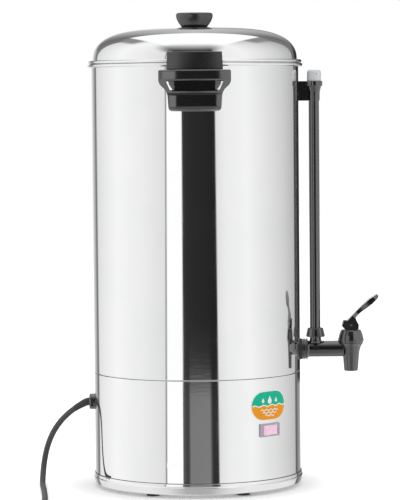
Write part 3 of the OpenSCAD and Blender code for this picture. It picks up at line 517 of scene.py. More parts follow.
rocker_pink = moulded(
    "lit pink plastic", (0.92, 0.56, 0.7), (0.86, 0.5, 0.66), 0.05, 700, 120, 0.12, 0.2, 0.6,
    Subsurface_Weight=0.3, Emission_Strength=0.14, Emission_Color=(1, 0.6, 0.75, 1))
gauge_glass = worn(
    "gauge glass", (0.99, 0.995, 1.0), (0.95, 0.97, 0.98), 0.01, 60, 400, 0.0, 0.03, 0.2,
    Transmission_Weight=1, IOR=1.47)
frosted_cap = moulded(
    "frosted cap plastic", (0.62, 0.63, 0.64), (0.56, 0.57, 0.58), 0.02, 300, 90, 0.2, 0.3, 0.4,
    IOR=1.49, Coat_Weight=0.5, Coat_Roughness=0.08)
amber_print, green_print, pale_print = (
    moulded(name, light, dark, 0.05, 2500, 90, 0.4, 0.5, 1, Specular_IOR_Level=0.2)
    for name, light, dark in (
        ("amber print", (0.82, 0.32, 0.008), (0.76, 0.28, 0.006)),
        ("green print", (0.0, 0.47, 0.29), (0.0, 0.41, 0.25)),
        ("pale print", (0.87, 0.85, 0.8), (0.8, 0.78, 0.74))))

FINISHES = {
    "polished_steel": polished_steel, "satin_steel": satin_steel, "aluminium": aluminium,
    "element": element_skin, "brass": brass, "white_ceramic": ceramic, "black_plastic": black_gloss,
    "rubber": foot_rubber, "lead_rubber": lead_rubber, "silicone": silicone, "gauge_glass": gauge_glass,
    "clear_plastic": frosted_cap, "switch_grey": switch_grey, "rocker_pink": rocker_pink}


def dressed(piece, body, slot, *nodes, look=None):
    """Gives a piece its finish and its body, and says which solids it stands for."""
    piece.data.materials.clear()
    piece.data.materials.append(look or FINISHES[slot])
    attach(piece, body)
    if nodes:
        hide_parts(*nodes)
    return piece


# %% Finishes of the solids that stay
for node, solid in frame["nodes"].items():
    slot = solid.data.materials[0].name
    solid.data.materials[0] = FINISHES[slot]
print("finishes:", len(FINISHES))

# %% [markdown]
# ## The mains lead
# The lead leaves a gland low on the left side, falls beside the body in one slack curve, bends on
# the floor and runs forward. The rest is wound into a coil of two layers, as for storage, and the
# round plug lies beside it. A Bezier curve takes each point's handles from its two neighbours, so
# the bends stay even. The handles never go under the height of a lead that lies on the floor.

# %% The lead's route
REST = CORD_D / 2
COIL = Vector((-134, -326, 0))
COIL_OUTER, LAYER_PITCH, LAYER_STEP = 46, 7.2, 7.2
LOWER_TURNS, RISING_TURNS, ALL_TURNS = 2.25, 0.75, 5.25
TURN_STEPS = 16
falling = [
    (-131.8, 0, 102), (-141.8, 1.2, 98.1), (-152.9, 4.6, 90.9), (-162.2, 8.8, 82.6), (-169.9, 13, 73.7),
    (-176.4, 17, 63.8), (-181.6, 20.4, 52.9), (-185.5, 22.4, 41.6), (-188, 21.2, 30.2),
    (-189.4, 16.9, 19.9), (-189.9, 9.8, 11.6),
    (-189.8, 0.6, 6.2), (-189.3, -9.8, 3.9), (-188.6, -21, REST), (-187.2, -36, REST), (-184.6, -64, REST),
    (-181.8, -99, REST), (-179, -142, REST), (-177.2, -196, REST), (-177.6, -258, REST)]


def coil_point(turns):
    """A place on the coil after so many turns: in on the floor, up, and out again on top."""
    if turns <= LOWER_TURNS:
        r, z = COIL_OUTER - LAYER_PITCH * turns, REST
    elif turns <= LOWER_TURNS + RISING_TURNS:
        t = (turns - LOWER_TURNS) / RISING_TURNS
        r = COIL_OUTER - LAYER_PITCH * LOWER_TURNS - LAYER_PITCH / 2 * math.sin(math.pi * t)
        z = REST + LAYER_STEP * t * t * (3 - 2 * t)
    else:
        r, z = COIL_OUTER - LAYER_PITCH * (ALL_TURNS - turns), REST + LAYER_STEP
    a = math.pi + turns * 2 * math.pi
    return COIL + Vector((r * math.cos(a), r * math.sin(a), z))


route = [Vector(p) for p in falling]
route += [coil_point(i / TURN_STEPS) for i in range(int(ALL_TURNS * TURN_STEPS) + 1)]
route += [Vector(p) for p in [(-114, -372, 11), (-92, -372, 15), (-72, -372, 18)]]
tangents = [Vector((-11, 0, 0))] + [(b - a) / 2 for a, b in zip(route, route[2:])] + [Vector((20, 0, 0))]

# %% The lead as a curve
curve = bpy.data.curves.new("mains_lead", "CURVE")
curve.dimensions = "3D"
curve.resolution_u = 5
curve.bevel_depth = CORD_D / 2 * MM
curve.bevel_resolution = 5
curve.use_fill_caps = True
spline = curve.splines.new("BEZIER")
spline.bezier_points.add(len(route) - 1)
for point, place, tangent in zip(spline.bezier_points, route, tangents):
    point.handle_left_type = point.handle_right_type = "FREE"
    point.co = place * MM
    for side, handle in (("handle_left", place - tangent / 3), ("handle_right", place + tangent / 3)):
        handle.z = max(handle.z, REST)
        setattr(point, side, handle * MM)
lead = bpy.data.objects.new("mains_lead", curve)
bpy.context.scene.collection.objects.link(lead)

# %% [markdown]
# ### The plug, the sleeve and the tie
# The plug is one turned moulding with a ribbed boot, a grip that widens to the flat face, and two
# round pins. A slim tapered sleeve stiffens the lead where it leaves the gland. It is a short
# curve along the lead's own first points, with a radius at each point. A strap holds the coil.

# %% The plug
PLUG_X, PLUG_Y, PLUG_Z = -72, -372, 18
ribs = []
for i in range(4):
    start = PLUG_X + 3 + i * 4.4
    ribs += [(start + along, r + i * 0.25) for along, r in ((0, 4.7), (0.5, 5.6), (2.6, 5.7), (3.1, 4.8))]
face_x = PLUG_X + 58
plug = turned_along_x("plug_body", [(PLUG_X, 0), (PLUG_X, 4.4)] + ribs + soft(
    [(PLUG_X + 21, 5.4), (PLUG_X + 22, 11.5), (PLUG_X + 26, 15), (face_x - 12, 17.9), (face_x, 17.9), (face_x, 0)],
    1.6), PLUG_Z, y=PLUG_Y)
for middle in (PLUG_Y - 16.2, PLUG_Y + 16.2):
    cut(plug, block("grip", (PLUG_X + 28, middle - 3, 0), (face_x - 14, middle + 3, 36)))
softened(plug, 0.5, 2)
dressed(plug, "urn", "black_plastic", "plug", look=black_satin)
pins = []
for side, name in ((-1, "left"), (1, "right")):
    pin = turned_along_x("plug_pin_" + name, soft(
        [(face_x - 2, 0), (face_x - 2, 2.4), (face_x + 19, 2.4), (face_x + 19, 0)], 1.3, 4),
        PLUG_Z, 32, PLUG_Y + side * 9.5)
    pins.append(dressed(pin, "urn", "brass", look=satin_steel))

# %% The sleeve and the tie
sleeve_curve = bpy.data.curves.new("gland_sleeve", "CURVE")
sleeve_curve.dimensions = "3D"
sleeve_curve.bevel_depth = MM
sleeve_curve.bevel_resolution = 6
sleeve_curve.use_fill_caps = True
spline = sleeve_curve.splines.new("POLY")
sleeve_places = [route[0]]
for a, b, ta, tb in zip(route, route[1:3], tangents, tangents[1:3]):
    for i in range(1, 7):
        t = i / 6
        sleeve_places.append(a * (1 + 2 * t) * (1 - t) ** 2 + ta * t * (1 - t) ** 2
                             + b * t * t * (3 - 2 * t) + tb * t * t * (t - 1))
sleeve_places = sleeve_places[:11]
spline.points.add(len(sleeve_places) - 1)
for i, (point, place) in enumerate(zip(spline.points, sleeve_places)):
    point.co = (*(place * MM), 1)
    point.radius = 4.9 - 1.15 * i / (len(sleeve_places) - 1)
sleeve = bpy.data.objects.new("gland_sleeve", sleeve_curve)
bpy.context.scene.collection.objects.link(sleeve)
only(sleeve)
bpy.ops.object.convert(target="MESH")
sleeve = bpy.context.object
smooth(sleeve, 50)
dressed(sleeve, "urn", "lead_rubber", look=black_satin)

tie_a = math.radians(52)
out = Vector((math.cos(tie_a), math.sin(tie_a), 0))
across = Vector((-math.sin(tie_a), math.cos(tie_a), 0))
middle = COIL + out * 38 - across * 4.5
loop = [(-12.6, 0.3), (12.6, 0.3), (13.4, 7), (12.6, 14.6), (-12.6, 14.6), (-13.4, 7)]
tie = prism("coil_tie", [middle + out * u + Vector((0, 0, w)) for u, w in loop], across * 9)
inner = [(u * 0.94, 0.9 + (w - 0.3) * 0.9) for u, w in loop]
cut(tie, prism("tie_inside", [middle - across + out * u + Vector((0, 0, w)) for u, w in inner], across * 11))
softened(tie, 0.25, 2)
dressed(tie, "urn", "lead_rubber", look=black_satin)

# %% [markdown]
# ### What the polished base shows of the lead
# The base mirrors the start of the lead. Further forward the lead would show as a loose loop in
# the steel, so mirror rays pass it. Where many turns lie behind each other, the lead glows plain
# white for mirror rays: a painted white reflection in the steel.

# %% What the polished base shows of the lead
tree = lead_rubber.node_tree
surface = tree.nodes["Principled BSDF"].inputs
axes = add(tree, "ShaderNodeSeparateXYZ")
linked(tree, (add(tree, "ShaderNodeTexCoord").outputs["Object"], axes.inputs[0]))
rays = add(tree, "ShaderNodeLightPath").outputs
forward = maths(tree, "LESS_THAN", axes.outputs["Y"], -0.03)
mirrored = maths(tree, "MULTIPLY", forward, rays["Is Glossy Ray"])
few_layers = maths(tree, "LESS_THAN", rays["Transparent Depth"], 5.5)
shown = maths(tree, "SUBTRACT", 1, maths(tree, "MULTIPLY", mirrored, few_layers))
# Mirror rays see the forward part of the lead glow white, a painted reflection; other rays see no glow.
pale = add(tree, "ShaderNodeMix", data_type="RGBA")
pale.inputs[6].default_value = (0, 0, 0, 1)
pale.inputs[7].default_value = (1, 1, 1, 1)
linked(tree, (shown, surface["Alpha"]), (mirrored, pale.inputs[0]), (pale.outputs[2], surface["Emission Color"]))
surface["Emission Strength"].default_value = 1
for piece in (plug, *pins, tie):
    piece.visible_glossy = False

# %% The lead's finish and body, in place of the solid model's lead
lead.data.materials.append(lead_rubber)
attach(lead, "urn")
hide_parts("cord_lead", "cord_coil", "cord_tail")

# %% [markdown]
# ## The tank and the base
# The tank is one spun sheet: a straight wall, a pressed floor, and a rolled bead at the mouth. The
# base is a second sheet with the same outer size. Both edges turn in where they meet, which
# leaves a narrow joint. A mirror shows every flat, so the sections are spun in many steps.

# %% The tank
WALL_STEPS = 288
bead = arc(127.9, 509.1, 2.1, -160, 160, 16)
tank_section = (
    [(INNER_R, SEAM_Z + 0.3), (124.35, SEAM_Z + 0.12), (124.75, SEAM_Z + 0.35), (BODY_R, SEAM_Z + 0.95),
     (BODY_R, SEAM_Z + 1.15), (BODY_R, 300), (BODY_R, 506.4)]
    + soft([(BODY_R, 507), (BODY_R, 508.4), (126, 508.5)], 1.2) + bead
    + soft([(126, 509.6), (INNER_R, 509.5), (INNER_R, 506)], 1.2)
    + soft([(INNER_R, 300), (INNER_R, TANK_FLOOR_Z + 0.8), (0, TANK_FLOOR_Z + 0.8)], 3, 5)
    + [(0, TANK_FLOOR_Z), (INNER_R, TANK_FLOOR_Z), (INNER_R, SEAM_Z + 0.3)])
tank = turned("tank_wall", tank_section, WALL_STEPS)
dressed(tank, "urn", "polished_steel", "tank_shell")
tank.data.materials.append(inner_steel)
for face in tank.data.polygons:          # the sheet is left satin on the water's side
    out = math.hypot(face.center.x, face.center.y) / MM
    if out < INNER_R + 0.01 and TANK_FLOOR_Z + 0.1 < face.center.z / MM < 506:
        face.material_index = 1

# %% The base skirt, with the opening for the switch
skirt_section = [
    (BODY_R, 5.4), (BODY_R, 70), (BODY_R, SEAM_Z - 0.8), (BODY_R, SEAM_Z - 0.6), (124.6, SEAM_Z - 0.2),
    (124.15, SEAM_Z - 0.3), (124.15, SEAM_Z + 6), (123.35, SEAM_Z + 6), (123.35, SEAM_Z - 1.5),
    (INNER_R, SEAM_Z - 2.3), (INNER_R, 5.4), (BODY_R, 5.4)]
skirt = turned("base_skirt", skirt_section, WALL_STEPS)
opening = facing(block("opening", (-14.2, -127, SWITCH_Z - 7), (14.2, -94, SWITCH_Z + 7)), SWITCH_AZIMUTH)
cut(skirt, opening)
smooth(skirt)
dressed(skirt, "urn", "polished_steel", "base_shell")

# %% [markdown]
# ### Dark rings of painted shade in the joints
# A thin black ring lies in the joint of the tank with the skirt, and another where the pan's rim
# meets the skirt. They are painted shade. They stand for the shade in both joints and show as their
# fine dark lines.

# %% The dark rings of painted shade in the joints
# Each ring is black only to paint the shade of its joint.
for name, z, r in (("seam_shade_ring", SEAM_Z, 124.72), ("pan_shade_ring", 17.6, 125.25)):
    inner, low, high = r - 0.5, z - 0.35, z + 0.35
    ring = turned(name, [(inner, low), (r, low), (r, high), (inner, high), (inner, low)], WALL_STEPS)
    dressed(ring, "urn", "black_plastic", look=black_satin)

# %% [markdown]
# ### The base pan
# A second pressing closes the base from below. Its edge is folded round the skirt in two steps,
# which the picture shows as two bright lines. The middle is pressed up, and vents let air through.

# %% The base pan
VENT_RING_R = 80
pan_section = soft(
    [(0, 10.4), (60, 10.4), (66, 4.4), (124.6, 4.4), (125.8, 5.2), (127.2, 12.9), (126.1, 13.9), (126.5, 17.3),
     (125.02, 17.5), (125.02, 5.4)], 0.5) + soft([(125.02, 5.4), (66.4, 5.4), (60.4, 11.4), (0, 11.4)], 0.6)
pan = turned("base_pan", pan_section, WALL_STEPS)
for i in range(12):
    a = math.radians((i + 0.5) * 30)
    x, y = VENT_RING_R * math.sin(a), -VENT_RING_R * math.cos(a)
    cut(pan, bar("vent", (x, y, 2), (x, y, 9), 6, 24))
smooth(pan)
dressed(pan, "urn", "polished_steel", "base_plate")

# %% [markdown]
# ## The lid
# The lid is spun from one sheet. Its dome is nearly flat on top and turns down steeply at the
# edge, like a flattened egg, and ends in a flange with a rolled rim. The curve is given by a
# formula, so that its slope changes evenly and reflections run smoothly over it.

# %% The lid
def dome(r, h, start, end, step=2):
    angles = range(start, end + (1 if step > 0 else -1), step)
    return [(r * math.sqrt(math.sin(math.radians(a))), DOME_Z + h * max(0, math.cos(math.radians(a))) ** 0.86)
            for a in angles]


RIM_R = 1.95
rim = arc(127.05, LID_Z + RIM_R, RIM_R, 150, -150, 15)
lid_section = (
    dome(DOME_R, DOME_H, 0, 88) + soft([(DOME_R, 514.6), (DOME_R, 512.9), (125.2, 512.7)], 1.2) + rim
    + soft([(125.2, 511.9), (DOME_R - 0.8, 511.9), (DOME_R - 0.8, 514)], 1)
    + dome(DOME_R - 0.8, DOME_H - 0.8, 88, 0, -2))
lid = turned("lid_dome", lid_section, WALL_STEPS)
dressed(lid, "lid", "polished_steel", "lid_shell")
ring = turned("lid_skirt", soft(
    [(123.3, 511.9), (123.3, 503.9), (122.5, 503.9), (122.5, 511.9), (123.3, 511.9)], 0.3), 192)
dressed(ring, "lid", "satin_steel", "lid_ring")

# %% [markdown]
# ### The lid's knob
# The knob is a turned-looking moulding that widens upwards, so that fingers can hold it, with a
# soft edge round a nearly flat top. A thin washer keeps its foot off the polished lid.

# %% The knob
KNOB_FOOT_R, KNOB_TOP_R = 15.6, 22.25
knob_section = [(0, KNOB_Z), (15, KNOB_Z), (KNOB_FOOT_R, KNOB_Z + 0.7)] + [
    (KNOB_FOOT_R + (KNOB_TOP_R - KNOB_FOOT_R) * math.sin(math.radians(a)), KNOB_Z + 0.7 + 13.8 * a / 90)
    for a in range(8, 90, 8)]
knob_section += arc(KNOB_TOP_R - 3, KNOB_Z + 14.5, 3, 6, 90, 7) + [(12, KNOB_Z + 17.4), (0, KNOB_Z + 17.25)]
knob = turned("lid_knob", knob_section, 96)
dressed(knob, "lid", "black_plastic", "knob", look=black_soft)
washer = turned("knob_foot_ring", soft([(0, APEX_Z), (18.5, APEX_Z), (18.5, KNOB_Z), (0, KNOB_Z)], 0.4), 96)
dressed(washer, "lid", "black_plastic", "knob_washer", look=black_satin)

# %% [markdown]
# ### The lid's lugs
# A lug over each handle hides the lid's rim and keeps hands off the hot steel. It follows the
# dome at its back and the round of the body at its front, and its sides lean in a little. A
# spun section and a slab of the front view share exactly that shape.

# %% The lugs
LUG_LOW_Z = 503.1


def lug(name, node, azimuth):
    section = [tuple(p) for p in soft([(131, LUG_LOW_Z), (134, LUG_LOW_Z), (134, 524), (122.7, 524)], 1.6)]
    section += [(r + 0.05, z) for r, z in dome(DOME_R, DOME_H, 80, 88)]
    section += [(123.5, 515.9), (130.6, 515.9), (130.6, LUG_LOW_Z)]
    piece = swung(name, section, range(-18, 19, 2))
    outline = [(-33, 500), (33, 500), (33, LUG_LOW_Z), (31.8, 526), (-31.8, 526), (-33, LUG_LOW_Z)]
    common(piece, front_slab("lug_front_view", outline, 60, 140))
    softened(piece, 1.0, 3)
    facing(piece, azimuth)
    return dressed(piece, "lid", "black_plastic", node, look=black_soft)


lug("front_lug", "lid_lug_front", 0)
lug("rear_lug", "lid_lug_rear", 180)

# %% [markdown]
# ## The side handles
# Each handle is one moulding: a wide grip flange on top, a finger space under it with a post in
# the middle, and a foot block that is screwed to the wall. The front has three flat faces, a
# wide one and two that turn back, so it is spun in three steps only. The finger space is cut
# through to the wall beside the post, which leaves two small windows.

# %% The handles
FLAT_TURN, SIDE_TURN = 7.4, 27.6          # degrees from the middle to the edges of the three front faces
GRIP_HALF, BLOCK_HALF = 42, 30.8


def neck_curve(steps=10):
    a, d = Vector((GRIP_HALF, GRIP_LOW_Z)), Vector((31.5, BLOCK_TOP_Z - 7))
    b, c = a - Vector((1, 8.75)), d + Vector((0.8, 12.5))
    out = []
    for i in range(steps + 1):
        t = i / steps
        p = a * (1 - t) ** 3 + b * 3 * t * (1 - t) ** 2 + c * 3 * t * t * (1 - t) + d * t ** 3
        out.append((p.x, p.y))
    return out


def wall_bar():
    """The body's round, a hair larger, to fit pieces to it."""
    return bar("wall", (0, 0, 400), (0, 0, 540), 2 * BODY_R + 0.04, WALL_STEPS)


def handle(name, node, azimuth):
    widen = 1 / math.cos(math.radians(FLAT_TURN))      # the middle of a flat face lies nearer than its corners
    front = (arc(GRIP_R - 2, GRIP_TOP_Z - 2, 2, 90, 0, 4) + arc(GRIP_R - 2, GRIP_LOW_Z + 2, 2, 0, -60, 4)
             + arc(BLOCK_R - 6, BLOCK_TOP_Z - 6, 6, 40, 0, 4) + arc(BLOCK_R - 6, BLOCK_LOW_Z + 6, 6, 0, -90, 6))
    section = [(110, GRIP_TOP_Z)] + [(r * widen, z) for r, z in front] + [(110, BLOCK_LOW_Z)]
    piece = swung(name, section, (-SIDE_TURN, -FLAT_TURN, FLAT_TURN, SIDE_TURN))
    half = (arc(GRIP_HALF - 2, GRIP_TOP_Z - 2, 2, 90, 0, 4) + neck_curve()
            + arc(BLOCK_HALF - 5, BLOCK_LOW_Z + 5, 5, 0, -90, 5))
    outline = half + [(-x, z) for x, z in reversed(half)]
    common(piece, front_slab("handle_front_view", outline, 60, 165))
    half = [(33.5, GRIP_LOW_Z), (29, BLOCK_TOP_Z + 2), (26, BLOCK_TOP_Z)]
    outline = [(-33.5, GRIP_LOW_Z)] + half + [(-26, BLOCK_TOP_Z), (-29, BLOCK_TOP_Z + 2)]
    space = front_slab("finger_space", outline, 60, 165)
    cut(space, block("post", (-23.75, -POST_R, 450), (23.75, -50, 520)))
    cut(piece, space)
    for middle in (-33.5, 33.5):
        cut(piece, block("window", (middle - 9.75, -140.5, 479.5), (middle + 9.75, -120, 489.5)))
    cut(piece, wall_bar())
    softened(piece, 1.1, 3, 40)
    facing(piece, azimuth)
    return dressed(piece, "urn", "black_plastic", node)


handle("front_handle", "handle_front", 0)
handle("rear_handle", "handle_rear", 180)

# %% [markdown]
# ## The tap
# The tap is a shank with ring collars that clamps to the wall, and an upright barrel with the
# spout below and a fluted bonnet on top. They are turned pieces round two axes. The barrel is
# hollow, with the seat inside, so that looking up the spout shows a hole and not a flat end.

# %% Shank, barrel and tee
shank = turned_along_x("tap_shank", [(110, 5.5)] + soft(
    [(110, 8), (127, 8), (127, 12.5), (128.6, 12.7), (128.6, 12.0), (129.2, 12.0), (129.2, 12.7), (131, 12.7),
     (131.2, 11.7), (132.6, 11.7), (132.6, 12.9), (134.1, 12.9), (134.3, 10.6), (136, 9.7), (178.1, 9.7),
     (178.1, 5.5)], 0.35) + [(110, 5.5)], TAP_Z, 72)
dressed(shank, "urn", "black_plastic", "tap_body")
barrel = turned("tap_barrel", [(5.6, 137)] + soft(
    [(5.6, 137), (8.3, 137), (8.5, 139), (9.7, 154.6), (10.5, 161), (12.4, 167.6), (14.6, 170.6), (14.6, 171.5),
     (12.4, 171.5), (12.4, 178), (8.4, 178), (8.4, 157), (5.6, 157), (5.6, 139)], 0.9) + [(5.6, 137)], 96, TAP_X)
dressed(barrel, "urn", "black_plastic")
tee = turned("gauge_tee", [(3, 171)] + soft(
    [(3, 171), (9.4, 171.4), (7.4, 174.2), (6.85, 176), (6.85, 178.8), (6.3, 178.8), (6.3, 184), (5.05, 184),
     (5.05, 180), (3, 180)], 0.5) + [(3, 171)], 64, GAUGE_X)
dressed(tee, "urn", "black_plastic")

# %% The bleed screw on the tee
bleed_z = TAP_Z + 2.5
bleed = bar("bleed_screw", (GAUGE_X, -8, bleed_z), (GAUGE_X, -12.2, bleed_z), 6.2, 40)
cut(bleed, block("slot", (GAUGE_X - 4, -13, bleed_z - 0.4), (GAUGE_X + 4, -11.2, bleed_z + 0.4)))
softened(bleed, 0.3, 2)
dressed(bleed, "urn", "black_plastic")

# %% [markdown]
# ### The bonnet
# The bonnet is a cone with twelve flutes for the fingers.

# %% The bonnet
FLUTES, FLUTE_RING_R = 12, 16.65
bonnet = turned("tap_bonnet_cover", [(12.45, 171.5)] + soft(
    [(12.45, 171.5), (14.75, 171.5), (15.75, 174.5), (14.15, 181), (12.35, 186), (11.15, 187), (3.05, 187),
     (3.05, 183), (6, 183), (6, 178), (12.45, 178)], 0.5) + [(12.45, 171.5)], 144, TAP_X)
for i in range(FLUTES):
    a = 2 * math.pi * (i + 0.5) / FLUTES
    x, y = TAP_X + FLUTE_RING_R * math.cos(a), FLUTE_RING_R * math.sin(a)
    cut(bonnet, bar("flute", (x, y, 170), (x, y, 190), 3, 24))
softened(bonnet, 0.35, 2, 28)
dressed(bonnet, "urn", "black_plastic", "tap_bonnet")

# %% [markdown]
# ### The spring
# A wire wound round the stem presses the seat cup down. It sits under the bonnet and shortens as
# the stem rises. Here it is wound at one even pitch between the ends of the solid model's spring.

# %% The spring under the bonnet
SPRING_R, SPRING_TURNS, WIRE_R, STEM_RISE = 4.2, 5, 0.5, 2.93
spring_low, spring_high = (corner.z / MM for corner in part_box("tap_spring"))
end_room = WIRE_R + 0.05
steps = SPRING_TURNS * 24
path = []
for i in range(steps + 1):
    a = 2 * math.pi * SPRING_TURNS * i / steps
    rise = (spring_high - spring_low - 2 * end_room) * i / steps
    path.append((TAP_X + SPRING_R * math.cos(a), SPRING_R * math.sin(a), spring_low + end_room + rise))
spring = line_of("tap_coil_spring", path)
bpy.ops.object.mode_set(mode="OBJECT")
only(spring)
bpy.ops.object.convert(target="CURVE")
spring.data.bevel_depth = WIRE_R * MM
spring.data.bevel_resolution = 2
spring.data.use_fill_caps = True
bpy.ops.object.convert(target="MESH")
smooth(spring)
dressed(spring, "urn", "satin_steel", "tap_spring")
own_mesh(spring)
print("spring from", round(spring_low, 2), "to", round(spring_high, 2), "mm")

# %% [markdown]
# ### The lever
# The lever is a side view cut to the shape of its plan: broad at the hub, narrow at the neck and
# broad again at the paddle. A slot under the hub takes the flat end of the stem, and the hub's
# lower side is the cam.

# %% The lever
LEVER_ANGLE = math.radians(40.5)
CAM_R, CAM_REACH = 4.8, 5.95
along = Vector((math.cos(LEVER_ANGLE), 0, math.sin(LEVER_ANGLE)))
above = Vector((-math.sin(LEVER_ANGLE), 0, math.cos(LEVER_ANGLE)))
hinge = Vector((TAP_X, 0, PIN_Z))


def cam_curve():
    out = []
    for a in range(0, 36, 5):
        t = math.radians(a)
        reach = CAM_REACH + CAM_R * t
        out.append((reach * math.sin(t) + CAM_R * math.cos(t), CAM_R * math.sin(t) - reach * math.cos(t)))
    return out


def half_width(u):
    if u < 8:
        return 8
    if u < 16:
        return 8 - 1.6 * (1 - math.cos((u - 8) / 8 * math.pi))
    if u < 22:
        return 4.8
    if u < 32:
        return 4.8 + 2 * (1 - math.cos((u - 22) / 10 * math.pi))
    return 8.8 if u < 41 else math.sqrt(max(0.01, 8.8 ** 2 - ((u - 41) / 8 * 8.8) ** 2))


side_view = [(-6.6, -CAM_REACH)] + cam_curve() + [
    (9.4, 0.4), (6.4, 6), (5.6, 9.2), (11, 14.5), (18, 19.7), (26.8, 26.8), (33.3, 33.4), (33.5, 35.6), (31.6, 37.3),
    (22.4, 31.6), (14, 24.1), (-4.8, 5.3), (-9.2, 5.3), (-11, -1.3)]
lever = prism("tap_lever_arm", [hinge + Vector((x, -16, z)) for x, z in side_view], (0, 32, 0))
plan = [(u, half_width(u)) for u in sorted([*range(-12, 50, 2), 48.9])]
plan += [(u, -w) for u, w in reversed(plan)]
common(lever, prism("plan", [hinge + along * u + Vector((0, w, 0)) - above * 30 for u, w in plan], above * 60))
cut(lever, block("stem_slot", (TAP_X - 16, -2.65, PIN_Z - 16), (TAP_X + 16, 2.65, PIN_Z + 4)))
softened(lever, 0.7, 3, 30)
dressed(lever, "lever", "black_plastic", "tap_lever")

# %% [markdown]
# ## The sight gauge
# Water rises in a glass tube to the level in the tank. A black guard tube with one slot protects
# it, a ribbed nut seals its foot, a bracket holds its head to the wall, and a frosted cap with
# small air holes closes it.

# %% Nut and guard
def beside_gauge(r, a, z):
    return Vector((GAUGE_X + r * math.cos(a), r * math.sin(a), z))


nut = turned("gauge_foot_nut", [(6.4, 178.9)] + soft(
    [(6.4, 178.9), (11.2, 178.9), (11.5, 179.8), (9.5, 188.9), (8.6, 189.7), (5.1, 189.7), (5.1, 186), (6.4, 186)],
    0.5) + [(6.4, 178.9)], 120, GAUGE_X)
for i in range(10):
    a = math.radians(i * 36)
    cut(nut, bar("groove", beside_gauge(12.1, a, 176), beside_gauge(9.2, a, 192), 2.6, 20))
softened(nut, 0.3, 2, 28)
dressed(nut, "urn", "black_plastic", "gauge_nut")

guard = turned("gauge_guard_tube", soft(
    [(5.3, 189.7), (6.65, 189.7), (6.65, 485), (5.3, 485), (5.3, 189.7)], 0.4), 96, GAUGE_X)
cut(guard, block("viewing_slot", (GAUGE_X, -3.2, 180), (GAUGE_X + 10, 3.2, 500)))
softened(guard, 0.35, 2)
dressed(guard, "urn", "black_plastic", "gauge_guard")

# %% Bracket and cap
holder = turned("gauge_bracket_ring", soft(
    [(5.1, 465.4), (6.8, 465.4), (6.9, 476), (8.5, 482.6), (10.1, 483.2), (10.1, 489), (5.1, 489), (5.1, 465.4)],
    0.6), 96, GAUGE_X)
dressed(holder, "urn", "black_plastic", "gauge_bracket")
arm = block("gauge_bracket_arm", (118, -5.5, 465.4), (GAUGE_X - 6.9, 5.5, 489))
cut(arm, wall_bar())
softened(arm, 1.2, 3)
dressed(arm, "urn", "black_plastic")

cap = turned("gauge_clear_cap", [(5.1, 489)] + soft([(5.1, 489), (8.5, 489), (8.5, 490.5)], 0.5)
             + arc(8.5 - 3.4, 499.2, 3.4, 0, 90, 8)
             + [(0, 502.6), (0, 500.6), (3.9, 500.6), (5.1, 499.4), (5.1, 489)], 96, GAUGE_X)
for i in range(4):
    a = math.radians(20 + i * 90)
    cut(cap, bar("air_hole", beside_gauge(3, a, 497.4), beside_gauge(12, a, 497.4), 1.5, 20))
smooth(cap, 40)
dressed(cap, "urn", "clear_plastic", "gauge_cap")

# %% [markdown]
# ## The switch
# A snap-in rocker switch: a bezel with rounded corners round a pocket, and in it a rocker that
# is hollowed to a shallow V. It is modelled facing the front and then turned to its place
# between handle and tap.

# %% Bezel, box and rocker
bezel = block("switch_bezel", (-16, -126.5, SWITCH_Z - 8), (16, -123.4, SWITCH_Z + 8))
softened(bezel, 1.4, 4)
box = block("switch_box", (-14, -124.5, SWITCH_Z - 6.8), (14, -105.5, SWITCH_Z + 6.8))
joined(bezel, box)
cut(bezel, block("pocket", (-12.6, -128, SWITCH_Z - 5.4), (12.9, -117, SWITCH_Z + 4.7)))
softened(bezel, 0.35, 2)
facing(bezel, SWITCH_AZIMUTH)
dressed(bezel, "urn", "switch_grey", "switch_housing")

tilt = math.radians(8)
axis_y, rocker_r, rise = -122.5, 12, 12 * math.tan(tilt)
shape = []
for x, y in arc(0, 0, rocker_r, 180, 360, 15):
    shape.append((x, max(y, -5 - rise * abs(x) / rocker_r)))
shape = [(-11.6, 3)] + [p for p in shape if p[1] < 0] + [(11.6, 3)]
shape = [(x * math.cos(tilt) - y * math.sin(tilt), x * math.sin(tilt) + y * math.cos(tilt)) for x, y in shape]
rocker = prism("switch_rocker_key", [(x, axis_y + y, SWITCH_Z - 5.7) for x, y in shape], (0, 0, 11.4))
softened(rocker, 0.5, 3, 30)
facing(rocker, SWITCH_AZIMUTH)
dressed(rocker, "rocker", "rocker_pink", "switch_rocker")

# %% [markdown]
# ## The label above the switch
# A thin printed film in two colours sits above the switch. This one has plain water signs of the
# maker's own: drops in the green half, and steam lines in the amber half. Each print is a flat
# outline, bisected into narrow strips so that it can bend, and laid round the skirt.

# %% Flat prints that are wrapped on the skirt
LABEL_Z = 106
FILM_T = 0.1


